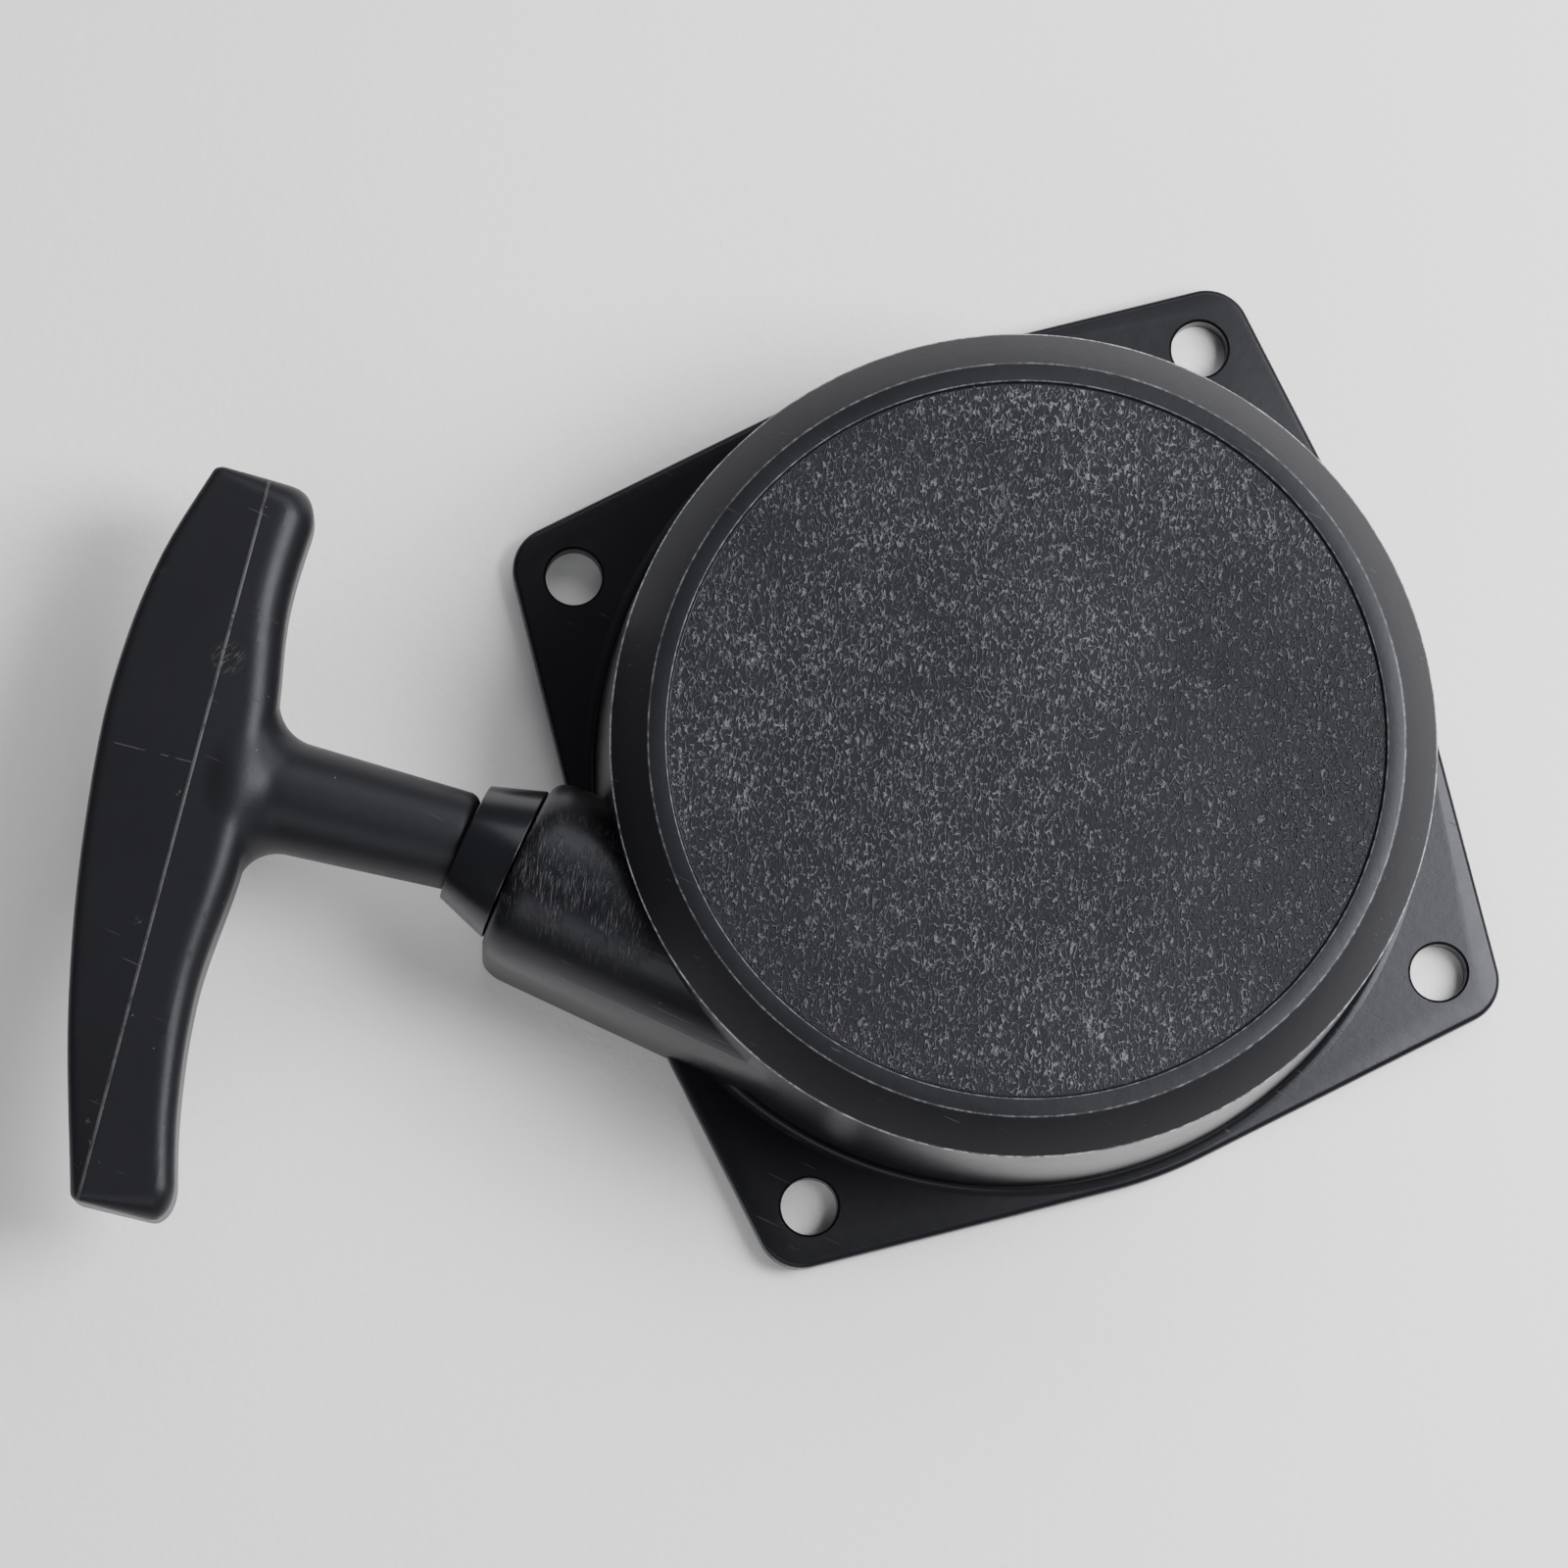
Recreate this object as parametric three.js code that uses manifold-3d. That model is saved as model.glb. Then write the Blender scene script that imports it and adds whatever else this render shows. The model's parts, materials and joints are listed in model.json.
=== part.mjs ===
// Recoil starter for a small engine: a moulded housing with a four-hole square flange, a rope reel with
// two pawls and a friction-held guide plate under it, a cased flat spiral spring above it, and a
// T-handle seated in the rope guide bush.
//
// Working frame, millimetres: the reel turns about the z axis, z = 0 is the engine side of the flange,
// and the rope leaves along -x. The finished group is shifted so that its origin lies under the middle
// of the whole starter.

import * as THREE from 'three';
import { mergeVertices } from 'three/addons/utils/BufferGeometryUtils.js';
import Module from 'manifold-3d';

const wasm = await Module();
wasm.setup();

// ---------- driving dimensions ----------

const AXIS_FROM_ORIGIN = { x: 18.44, y: 14.65 };

const CLEARANCE = 0.3;
const ROUND_STEPS = 60;
const SMALL_STEPS = 20;
const PIN_STEPS = 12;

const FLANGE = { thickness: 4, bodyRadius: 52.4, lobeRadius: 5.4, lobeCentre: 60.3 };
const SCREW_HOLE = { radius: 3.45, fromAxis: 58 };

const CAN = {
  filletRadius: 51.6, footRadius: 50.1, edgeRadius: 48.9, shoulderRadius: 44.5, recessRadius: 42.4,
  filletTop: 5.8, edgeHeight: 34.9, top: 40, recessFloor: 39.5,
};
const CAVITY = { mouthRadius: 48.6, ceilingEdgeRadius: 46.3, ceilingRadius: 42.3, shoulder: 34, ceiling: 37 };

const NOSE = {
  y: -36.8, z: 21, radius: 11.6, end: -48.8, root: -4, wall: 2.6, boreRadius: 6.5,
  endInset: 1.9, endSlope: 3.4,
};
const BUSH = {
  length: 6.8, baseRadius: 9.6, tipRadius: 7.3, mouthRadius: 6.8, mouthDepth: 4.4,
  seatRadius: 6.2, seatDepth: 1.6, spigotLength: 12, passageRadius: 2.55, innerFlare: 2,
};

const ROPE = { radius: 1.75, outerTurnRadius: 36.8 };

const POST = { radius: 6.3, bottom: 11.6, boreRadius: 4.5, boreTop: 28.5 };
const INSERT = { outerRadius: 4.2, innerRadius: 2.8, bottom: 11.9, top: 26 };
const SCREW = { shankRadius: 2.5, top: 27, headBottom: 1.6, headTop: 5.1, acrossFlats: 10, collarRadius: 6.6,
  collarThickness: 1.2 };
const WASHER = { innerRadius: 2.9, outerRadius: 10.2, bottom: 10.3, top: 11.3 };

const SPRING_CASE = {
  radius: 36, sheet: 0.8, top: 36.7, bottom: 28, holeRadius: 12.6, studFromAxis: 24, stud: 3,
};
const MAIN_SPRING = { thickness: 0.5, height: 6, bottom: 28.9, innerRadius: 13.2, outerRadius: 34.2, turns: 9,
  stepsPerTurn: 22 };

const REEL = {
  boreRadius: 8.4, hubRadius: 11.5, hubBottom: 12, hubTop: 35.2, flangeRadius: 42.5, grooveRadius: 31.4,
  grooveHalfWidth: 4.4, flangeThickness: 1.8, rimInnerRadius: 29.2,
  ribs: 8, ribThickness: 1.6, ribBottom: 14.8,
};
const REEL_BUSH = { innerRadius: 6.6, outerRadius: 8.1, bottom: 12.2, top: 35 };

const PAWL = {
  pivotRadius: 17, bossRadius: 4.1, top: 13, bottom: 9.6, length: 16.5, tipRadius: 1.6, restAngle: -93,
  pegRadius: 1.25, pegReach: 8.5, pegBottom: 4.7, swing: 32,
};
const PAWL_PIN = { radius: 1.5, holeRadius: 1.8, top: 24, headRadius: 2.8, headBottom: 8.2, headTop: 9.3 };
const PAWL_SPRING = {
  wireRadius: 0.25, coilRadius: 2.7, bottom: 13.55, pitch: 0.62, turns: 1.5, legLength: 8,
};

const GUIDE_PLATE = {
  bottom: 5.4, top: 6.8, hubRadius: 13.5, armRadius: 25, armFrom: -64, armTo: -8, holeRadius: 3.2,
  turnPerSwing: 0.75,
};
const FRICTION_SPRING = { wireRadius: 0.4, coilRadius: 6, bottom: 7.1, top: 10, turns: 2.6 };

// The handle is drawn in its own frame: u (x) runs from the bush face along the stem towards the palm,
// v (-y) runs along the crossbar towards the flange, and w (z) is the working frame's z.
const HANDLE = {
  mouth: [-55.6, -36.95], yaw: 10.2, partingU: 33.2, halfThickness: 7.4, endHalfThickness: 6.4,
  topV: 35.9, bottomV: -53, endRound: 5, palmEndRound: 1.5, palmRound: 1.2, fingerRound: 4.2, draft: 0.6,
};
const PALM_LINE = [[36, 39.9], [24, 43.4], [8, 45.1], [-10, 43.9], [-30, 40.5], [-53, 34.2]];
const FINGER_LINE = [[36, 26.6], [22, 27.2], [8, 25.3], [-10, 24.9], [-26, 26], [-40, 24.5], [-53, 21.4]];
const STEM = {
  tipU: -0.8, tipRadius: 6, tipRound: 1.6, rootRadius: 6.8, rootU: 22, flareRadius: 10.5, boreRadius: 2.4,
};
const KNOT_POCKET = { radius: 5.4, floorU: 36.4 };
const HANDLE_WASHER = { outerRadius: 4.9, innerRadius: 2.2, thickness: 1 };
const KNOT_RADIUS = 3.9;

// ---------- finishes ----------

function finish(color, roughness, metalness) {
  return new THREE.MeshStandardMaterial({ color, roughness, metalness });
}

const FINISHES = {
  housing: finish(0x1b1c20, 0.5, 0),
  gloss: finish(0x141519, 0.32, 0),
  handle: finish(0x18191c, 0.48, 0),
  reel: finish(0x2b2c30, 0.5, 0),
  steel: finish(0x9b9da1, 0.35, 1),
  springSteel: finish(0x4d5058, 0.3, 1),
  brass: finish(0xb08a45, 0.35, 1),
  rope: finish(0x26272a, 0.9, 0),
};

// ---------- solids ----------

function asSolid(geometry) {
  const bare = geometry.index ? geometry.toNonIndexed() : geometry.clone();
  bare.deleteAttribute('normal');
  bare.deleteAttribute('uv');
  const merged = mergeVertices(bare, 1e-4);
  const points = merged.attributes.position.array;
  const corners = [];
  let volume = 0;
  for (let i = 0; i < merged.index.count; i += 3) {
    const [a, b, c] = [merged.index.getX(i), merged.index.getX(i + 1), merged.index.getX(i + 2)];
    if (a === b || b === c || c === a) continue;
    corners.push(a, b, c);
    const [p, q, r] = [a, b, c].map((k) => new THREE.Vector3().fromArray(points, 3 * k));
    volume += p.dot(q.cross(r));
  }
  if (volume < 0) corners.reverse();
  const mesh = new wasm.Mesh({
    numProp: 3, vertProperties: new Float32Array(points), triVerts: new Uint32Array(corners),
  });
  return new wasm.Manifold(mesh);
}

function asGeometry(solid) {
  const mesh = solid.getMesh();
  const geometry = new THREE.BufferGeometry();
  geometry.setAttribute('position', new THREE.BufferAttribute(new Float32Array(mesh.vertProperties), 3));
  geometry.setIndex(new THREE.BufferAttribute(new Uint32Array(mesh.triVerts), 1));
  geometry.computeVertexNormals();
  return geometry;
}

const join = (first, ...others) => others.reduce((sum, solid) => sum.add(solid), first);
const cut = (first, ...others) => others.reduce((rest, solid) => rest.subtract(solid), first);

// A profile of [radius, height] points turned about z. A profile that doesn't touch the axis is closed.
function turned(profile, steps = ROUND_STEPS) {
  const points = profile.map(([r, z]) => new THREE.Vector2(r, z));
  const onAxis = profile[0][0] === 0 && profile.at(-1)[0] === 0;
  if (!onAxis) points.push(points[0].clone());
  return new THREE.LatheGeometry(points, steps).rotateX(Math.PI / 2);
}

function ring(innerRadius, outerRadius, bottom, top, steps = ROUND_STEPS) {
  const profile = [[innerRadius, bottom], [outerRadius, bottom], [outerRadius, top], [innerRadius, top]];
  return turned(profile, steps);
}

function disc(radius, bottom, top, steps = SMALL_STEPS) {
  return turned([[0, bottom], [radius, bottom], [radius, top], [0, top]], steps);
}

function block(width, depth, bottom, top) {
  return new THREE.BoxGeometry(width, depth, top - bottom).translate(0, 0, (top + bottom) / 2);
}

function plate(shape, bottom, top, curveSegments = SMALL_STEPS) {
  const options = { depth: top - bottom, bevelEnabled: false, curveSegments };
  return new THREE.ExtrudeGeometry(shape, options).translate(0, 0, bottom);
}

// A section swept along a curve.
function swept(section, path, steps) {
  const options = { steps, bevelEnabled: false, extrudePath: path, curveSegments: 2 };
  return new THREE.ExtrudeGeometry(section, options);
}

function roundSection(radius, sides = 8) {
  const points = Array.from({ length: sides }, (_, i) => {
    const angle = (2 * Math.PI * i) / sides;
    return new THREE.Vector2(radius * Math.cos(angle), radius * Math.sin(angle));
  });
  return new THREE.Shape(points);
}

function formulaCurve(pointAt) {
  const curve = new THREE.Curve();
  curve.getPoint = (t, target = new THREE.Vector3()) => target.set(...pointAt(t));
  return curve;
}

const radians = THREE.MathUtils.degToRad;
const polar = (radius, degrees) => [radius * Math.cos(radians(degrees)), radius * Math.sin(radians(degrees))];

const starter = new THREE.Group();
starter.position.set(AXIS_FROM_ORIGIN.x, AXIS_FROM_ORIGIN.y, 0);

function addPiece(name, geometry, material, parent = starter) {
  const mesh = new THREE.Mesh(geometry, material);
  mesh.name = name;
  parent.add(mesh);
  return mesh;
}

// ---------- housing ----------

// Four corner lobes joined to the round body by their common tangents.
function flangeOutline() {
  const { bodyRadius, lobeRadius, lobeCentre } = FLANGE;
  const reach = Math.acos((bodyRadius - lobeRadius) / lobeCentre);
  const outline = new THREE.Shape();
  for (let corner = 0; corner < 4; corner += 1) {
    const angle = (corner * Math.PI) / 2;
    outline.absarc(lobeCentre * Math.cos(angle), lobeCentre * Math.sin(angle), lobeRadius,
      angle - reach, angle + reach, false);
    outline.absarc(0, 0, bodyRadius, angle + reach, angle + Math.PI / 2 - reach, false);
  }
  return outline;
}

function canProfile() {
  return [
    [0, 1], [CAN.filletRadius, 1], [CAN.filletRadius, FLANGE.thickness], [CAN.footRadius, CAN.filletTop],
    [CAN.edgeRadius, CAN.edgeHeight - 0.5], [CAN.edgeRadius - 0.3, CAN.edgeHeight],
    [CAN.shoulderRadius, CAN.top], [CAN.recessRadius, CAN.top], [CAN.recessRadius - 0.3, CAN.recessFloor],
    [0, CAN.recessFloor],
  ];
}

function cavityProfile() {
  return [
    [0, -1], [CAVITY.mouthRadius, -1], [CAVITY.mouthRadius, FLANGE.thickness],
    [CAVITY.ceilingEdgeRadius, CAVITY.shoulder], [CAVITY.ceilingRadius, CAVITY.ceiling], [0, CAVITY.ceiling],
  ];
}

// Turns a shape extruded along z, drawn across the rope outlet (y, z), to run along x from the outlet's axis.
const acrossNose = (geometry) => geometry.rotateX(Math.PI / 2).rotateZ(Math.PI / 2).translate(0, NOSE.y, 0);

// The rope outlet: an arched boss with straight sides down to the engine face and a rounded-in end.
function makeNose() {
  const halfWidth = NOSE.radius - NOSE.endInset;
  const below = -2 * NOSE.endInset;
  const shape = new THREE.Shape();
  shape.moveTo(-halfWidth, below);
  shape.lineTo(halfWidth, below);
  shape.absarc(0, NOSE.z, halfWidth, 0, Math.PI, false);
  const straight = NOSE.root - NOSE.end - NOSE.endSlope;
  const boss = new THREE.ExtrudeGeometry(shape, {
    depth: straight, curveSegments: 16,
    bevelThickness: NOSE.endSlope, bevelSize: NOSE.endInset, bevelSegments: 3,
  });
  const placed = asSolid(acrossNose(boss.translate(0, 0, NOSE.end + NOSE.endSlope)));
  const engineSide = block(200, 200, -20, 0);
  return placed.subtract(asSolid(engineSide));
}

function makeHousing() {
  const can = asSolid(turned(canProfile()));
  const cavity = asSolid(turned(cavityProfile()));
  let shell = join(asSolid(plate(flangeOutline(), 0, FLANGE.thickness, 8)), can, makeNose());
  shell = cut(shell, cavity);

  const core = asSolid(acrossNose(plate(noseCore(), NOSE.end + NOSE.wall + 1, NOSE.root)));
  const bore = asSolid(alongNose(disc(NOSE.boreRadius, -5, NOSE.root - NOSE.end + 5)));
  shell = cut(shell, cut(core, asSolid(disc(CAN.filletRadius, -2, CAN.top, ROUND_STEPS))), bore);

  const postRoot = CAVITY.ceiling + 0.2;
  const post = cut(asSolid(disc(POST.radius, POST.bottom, postRoot)),
    asSolid(disc(POST.boreRadius, POST.bottom - 1, POST.boreTop)));
  shell = join(shell, post);
  for (let i = 0; i < 3; i += 1) {
    const stud = block(SPRING_CASE.stud, SPRING_CASE.stud, SPRING_CASE.top - 1.2, postRoot);
    shell = join(shell, asSolid(stud.translate(SPRING_CASE.studFromAxis, 0, 0).rotateZ(radians(120 * i))));
  }
  for (let i = 0; i < 4; i += 1) {
    const [x, y] = polar(SCREW_HOLE.fromAxis, 90 * i);
    shell = cut(shell, asSolid(disc(SCREW_HOLE.radius, -1, FLANGE.thickness + 1).translate(x, y, 0)));
  }
  return asGeometry(shell);
}

// The hollow under the rope outlet that keeps its walls even.
function noseCore() {
  const halfWidth = NOSE.radius - NOSE.wall;
  const top = NOSE.z - NOSE.boreRadius - NOSE.wall;
  const shape = new THREE.Shape();
  shape.moveTo(-halfWidth, -1);
  shape.lineTo(halfWidth, -1);
  shape.lineTo(halfWidth, top);
  shape.lineTo(-halfWidth, top);
  return shape;
}

// Turns a piece made about z so that its z = 0 lies on the outlet's end face and +z points inwards, +x.
function alongNose(geometry) {
  return geometry.rotateY(Math.PI / 2).translate(NOSE.end, NOSE.y, NOSE.z);
}

function makeRopeGuideBush() {
  const outer = turned([
    [0, -BUSH.length], [BUSH.tipRadius - 0.4, -BUSH.length], [BUSH.tipRadius, 0.4 - BUSH.length],
    [BUSH.baseRadius, -CLEARANCE], [NOSE.boreRadius - CLEARANCE, -CLEARANCE],
    [NOSE.boreRadius - CLEARANCE, BUSH.spigotLength], [0, BUSH.spigotLength],
  ], 36);
  const passage = turned([
    [0, -BUSH.length - 1], [BUSH.mouthRadius, -BUSH.length - 1], [BUSH.mouthRadius, -BUSH.length],
    [BUSH.seatRadius, BUSH.seatDepth - BUSH.length], [BUSH.passageRadius, BUSH.mouthDepth - BUSH.length],
    [BUSH.passageRadius, BUSH.spigotLength - BUSH.innerFlare],
    [BUSH.passageRadius + BUSH.innerFlare, BUSH.spigotLength + 0.1], [0, BUSH.spigotLength + 0.1],
  ], 36);
  return asGeometry(asSolid(alongNose(outer)).subtract(asSolid(alongNose(passage))));
}

// ---------- spring and its case ----------

function makeSpringCase() {
  const { radius, sheet, top, bottom, holeRadius, stud, studFromAxis } = SPRING_CASE;
  let cup = asSolid(turned([
    [holeRadius, top - sheet], [radius - sheet, top - sheet], [radius - sheet, bottom], [radius, bottom],
    [radius, top], [holeRadius, top],
  ]));
  const side = stud + 2 * CLEARANCE;
  for (let i = 0; i < 3; i += 1) {
    const hole = block(side, side, top - sheet - 1, top + 1).translate(studFromAxis, 0, 0);
    cup = cup.subtract(asSolid(hole.rotateZ(radians(120 * i))));
  }
  return asGeometry(cup);
}

function makeMainSpring() {
  const { thickness, height, bottom, innerRadius, outerRadius, turns, stepsPerTurn } = MAIN_SPRING;
  const spiral = new THREE.Shape();
  const steps = turns * stepsPerTurn;
  const edge = (side, i) => {
    const share = i / steps;
    const radius = innerRadius + (outerRadius - innerRadius) * share + (side * thickness) / 2;
    return polar(radius, 360 * turns * share);
  };
  spiral.moveTo(...edge(-1, 0));
  for (let i = 1; i <= steps; i += 1) spiral.lineTo(...edge(-1, i));
  for (let i = steps; i >= 0; i -= 1) spiral.lineTo(...edge(1, i));
  return plate(spiral, bottom, bottom + height);
}

// ---------- reel ----------

function makeReel() {
  const { boreRadius, hubRadius, hubBottom, hubTop, flangeRadius, grooveRadius, grooveHalfWidth,
    flangeThickness, rimInnerRadius, ribs, ribThickness, ribBottom } = REEL;
  const grooveTop = NOSE.z + grooveHalfWidth;
  const grooveBottom = NOSE.z - grooveHalfWidth;
  let reel = asSolid(turned([
    [boreRadius, hubBottom], [hubRadius, hubBottom], [hubRadius, grooveTop], [rimInnerRadius, grooveTop],
    [rimInnerRadius, grooveBottom - flangeThickness], [flangeRadius, grooveBottom - flangeThickness],
    [flangeRadius, grooveBottom - 0.6], [grooveRadius, grooveBottom], [grooveRadius, grooveTop],
    [flangeRadius, grooveTop + 0.6], [flangeRadius, grooveTop + flangeThickness],
    [hubRadius, grooveTop + flangeThickness], [hubRadius, hubTop], [boreRadius, hubTop],
  ]));
  const ribLength = rimInnerRadius - hubRadius + 1;
  for (let i = 0; i < ribs; i += 1) {
    const rib = block(ribLength, ribThickness, ribBottom, grooveTop + 0.2);
    rib.translate(hubRadius - 0.5 + ribLength / 2, 0, 0).rotateZ(radians((360 / ribs) * (i + 0.5)));
    reel = reel.add(asSolid(rib));
  }
  for (const turn of [0, 180]) {
    const [x, y] = polar(PAWL.pivotRadius, turn);
    reel = reel.add(asSolid(disc(PAWL.bossRadius, ribBottom, grooveTop + 0.2).translate(x, y, 0)));
    reel = reel.subtract(asSolid(disc(PAWL_PIN.holeRadius, 0, PAWL_PIN.top + CLEARANCE, PIN_STEPS)
      .translate(x, y, 0)));
  }
  const ropeHole = disc(ROPE.radius + 0.4, rimInnerRadius - 3, flangeRadius + 2, PIN_STEPS);
  reel = reel.subtract(asSolid(placeOnRim(ropeHole)));
  return asGeometry(reel);
}

// Lays a piece made about z along the radius where the rope end enters the reel.
function placeOnRim(geometry) {
  return geometry.rotateY(Math.PI / 2).translate(0, 0, NOSE.z);
}

function makeRopeCoil() {
  const inner = REEL.grooveRadius + CLEARANCE;
  const outer = ROPE.outerTurnRadius + ROPE.radius;
  const half = REEL.grooveHalfWidth - CLEARANCE;
  return ring(inner, outer, NOSE.z - half, NOSE.z + half);
}

// The stopper knot in the reel, with the short neck that runs out through the rim.
function makeReelKnot() {
  const centre = REEL.rimInnerRadius - 4.4;
  const profile = [
    [0, centre - 3.4], [2.2, centre - 3], [3.6, centre - 1], [3.6, centre + 1], [ROPE.radius, centre + 3.4],
    [ROPE.radius, REEL.grooveRadius - 0.1], [0, REEL.grooveRadius - 0.1],
  ];
  return placeOnRim(turned(profile, 10));
}

// ---------- pawls, their pins and springs ----------

function pawlOutline() {
  const { bossRadius, length, tipRadius } = PAWL;
  const shape = new THREE.Shape();
  shape.absarc(0, 0, bossRadius, radians(70), radians(300), false);
  shape.quadraticCurveTo(length * 0.55, -bossRadius - 0.4, length, -tipRadius - 1.2);
  shape.lineTo(length + 0.6, tipRadius - 0.4);
  shape.quadraticCurveTo(length * 0.5, tipRadius + 0.6, bossRadius * Math.cos(radians(70)),
    bossRadius * Math.sin(radians(70)));
  const pinHole = new THREE.Path();
  pinHole.absarc(0, 0, PAWL_PIN.holeRadius, 0, 2 * Math.PI, true);
  shape.holes.push(pinHole);
  return shape;
}

function makePawl(turn) {
  const { pivotRadius, top, bottom, restAngle, pegRadius, pegReach, pegBottom } = PAWL;
  const body = asSolid(plate(pawlOutline(), bottom, top, 8));
  const peg = asSolid(disc(pegRadius, pegBottom, bottom + 0.5, PIN_STEPS).translate(pegReach, 0, 0));
  const geometry = asGeometry(body.add(peg)).rotateZ(radians(restAngle)).translate(pivotRadius, 0, 0);
  return geometry.rotateZ(radians(turn));
}

function makePawlPin(turn) {
  const { radius, top, headRadius, headBottom, headTop } = PAWL_PIN;
  const profile = [
    [0, headBottom], [headRadius - 0.4, headBottom], [headRadius, headBottom + 0.4], [headRadius, headTop],
    [radius, headTop], [radius, top - 0.4], [radius - 0.4, top], [0, top],
  ];
  return turned(profile, PIN_STEPS).translate(PAWL.pivotRadius, 0, 0).rotateZ(radians(turn));
}

// A wire wound round the pawl pin, with one leg along the pawl and one against a rib of the reel.
function makePawlSpring(turn) {
  const { wireRadius, coilRadius, bottom, pitch, turns, legLength } = PAWL_SPRING;
  const legShare = 0.3;
  const curve = formulaCurve((t) => {
    const wound = THREE.MathUtils.clamp((t - legShare) / (1 - 2 * legShare), 0, 1);
    const angle = 2 * Math.PI * turns * wound;
    const leg = t < legShare ? (t - legShare) / legShare : Math.max(0, (t - 1 + legShare) / legShare);
    const along = leg * legLength;
    return [
      coilRadius * Math.cos(angle) - along * Math.sin(angle),
      coilRadius * Math.sin(angle) + along * Math.cos(angle),
      bottom + pitch * turns * wound,
    ];
  });
  const wire = swept(roundSection(wireRadius, 6), curve, 30);
  return wire.rotateZ(radians(PAWL.restAngle + 90)).translate(PAWL.pivotRadius, 0, 0).rotateZ(radians(turn));
}

// ---------- guide plate and centre fastening ----------

// Where a pawl's peg stands over the guide plate, with the pawl swung out by some degrees.
function pegOverPlate(swing, turn) {
  const angle = PAWL.restAngle + swing;
  const [px, py] = polar(PAWL.pegReach, angle);
  const peg = new THREE.Vector2(PAWL.pivotRadius + px, py);
  return peg.rotateAround(new THREE.Vector2(), radians(turn - GUIDE_PLATE.turnPerSwing * swing));
}

// A small hub with two fan-shaped arms, each cut by the slot that its pawl's peg follows.
function makeGuidePlate() {
  const { bottom, top, hubRadius, armRadius, armFrom, armTo, holeRadius } = GUIDE_PLATE;
  let sheet = asSolid(ring(holeRadius, hubRadius, bottom, top, 32));
  for (const turn of [0, 180]) {
    const arm = new THREE.Shape();
    arm.moveTo(0, 0);
    arm.lineTo(...polar(armRadius, armFrom));
    arm.absarc(0, 0, armRadius, radians(armFrom), radians(armTo), false);
    const fan = asSolid(plate(arm, bottom, top, 8)).subtract(asSolid(disc(hubRadius - 1, 0, 10)));
    sheet = sheet.add(fan.rotate([0, 0, turn]));
    for (let swing = -1; swing <= PAWL.swing + 1; swing += 4) {
      const at = pegOverPlate(swing, turn);
      sheet = sheet.subtract(asSolid(disc(PAWL.pegRadius + 0.5, 0, 10, PIN_STEPS).translate(at.x, at.y, 0)));
    }
  }
  return asGeometry(sheet);
}

function makeFrictionSpring() {
  const { wireRadius, coilRadius, bottom, top, turns } = FRICTION_SPRING;
  const low = bottom + wireRadius;
  const high = top - wireRadius;
  const curve = formulaCurve((t) => [...polar(coilRadius, 360 * turns * t), low + (high - low) * t]);
  return swept(roundSection(wireRadius, 6), curve, 36);
}

function makeCentreScrew() {
  const { shankRadius, top, headBottom, headTop, acrossFlats, collarRadius, collarThickness } = SCREW;
  const collarBottom = headTop - collarThickness;
  const hexRadius = acrossFlats / Math.sqrt(3);
  const hexTop = collarBottom + 0.2;
  const hex = new THREE.CylinderGeometry(hexRadius, hexRadius, hexTop - headBottom, 6);
  hex.rotateX(Math.PI / 2).translate(0, 0, (hexTop + headBottom) / 2);
  const shank = turned([
    [0, collarBottom], [collarRadius, collarBottom], [collarRadius - 0.4, headTop], [shankRadius, headTop],
    [shankRadius, top - 1], [shankRadius - 0.8, top], [0, top],
  ], SMALL_STEPS);
  return asGeometry(asSolid(hex).add(asSolid(shank)));
}

// ---------- handle ----------

const palmLine = new THREE.SplineCurve(PALM_LINE.map(([v, u]) => new THREE.Vector2(v, u)));
const fingerLine = new THREE.SplineCurve(FINGER_LINE.map(([v, u]) => new THREE.Vector2(v, u)));

// The distance u of a line at the place v along the crossbar.
function lineAt(curve, v) {
  let [low, high] = [0, 1];
  for (let i = 0; i < 30; i += 1) {
    const middle = (low + high) / 2;
    if (curve.getPoint(middle).x > v) low = middle;
    else high = middle;
  }
  return curve.getPoint(low).y;
}

// One cross-section of the crossbar: flat, drafted sides towards the palm and a well-rounded finger side.
function crossbarSection(v) {
  const { topV, bottomV, endRound, palmEndRound, partingU, halfThickness, endHalfThickness, palmRound,
    fingerRound, draft } = HANDLE;
  const fromEnd = Math.min(topV - v, v - bottomV);
  const inset = (radius) => radius - Math.sqrt(radius ** 2 - Math.max(0, radius - fromEnd) ** 2);
  const share = (v / (v > 0 ? topV : bottomV)) ** 2;
  const half = THREE.MathUtils.lerp(halfThickness, endHalfThickness, share) - inset(endRound) / 2;
  const finger = lineAt(fingerLine, v) + inset(endRound);
  const palm = lineAt(palmLine, v) - inset(palmEndRound);
  const round = Math.min(palmRound, half * 0.8);
  const bend = Math.min(fingerRound, half * 0.8);
  const side = [[finger, 0]];
  for (let i = 0; i <= 5; i += 1) {
    const angle = (Math.PI / 2) * (i / 5);
    side.push([finger + bend * (1 - Math.cos(angle)), half - bend * (1 - Math.sin(angle))]);
  }
  side.push([Math.max(partingU, finger + bend + 0.2), half]);
  for (let i = 0; i <= 3; i += 1) {
    const angle = (Math.PI / 2) * (1 - i / 3);
    side.push([palm - round + round * Math.cos(angle), half - draft - round + round * Math.sin(angle)]);
  }
  const under = side.slice(1).reverse().map(([u, w]) => [u, -w]);
  return [...side, ...under].map(([u, w]) => [u, -v, w]);
}

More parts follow.
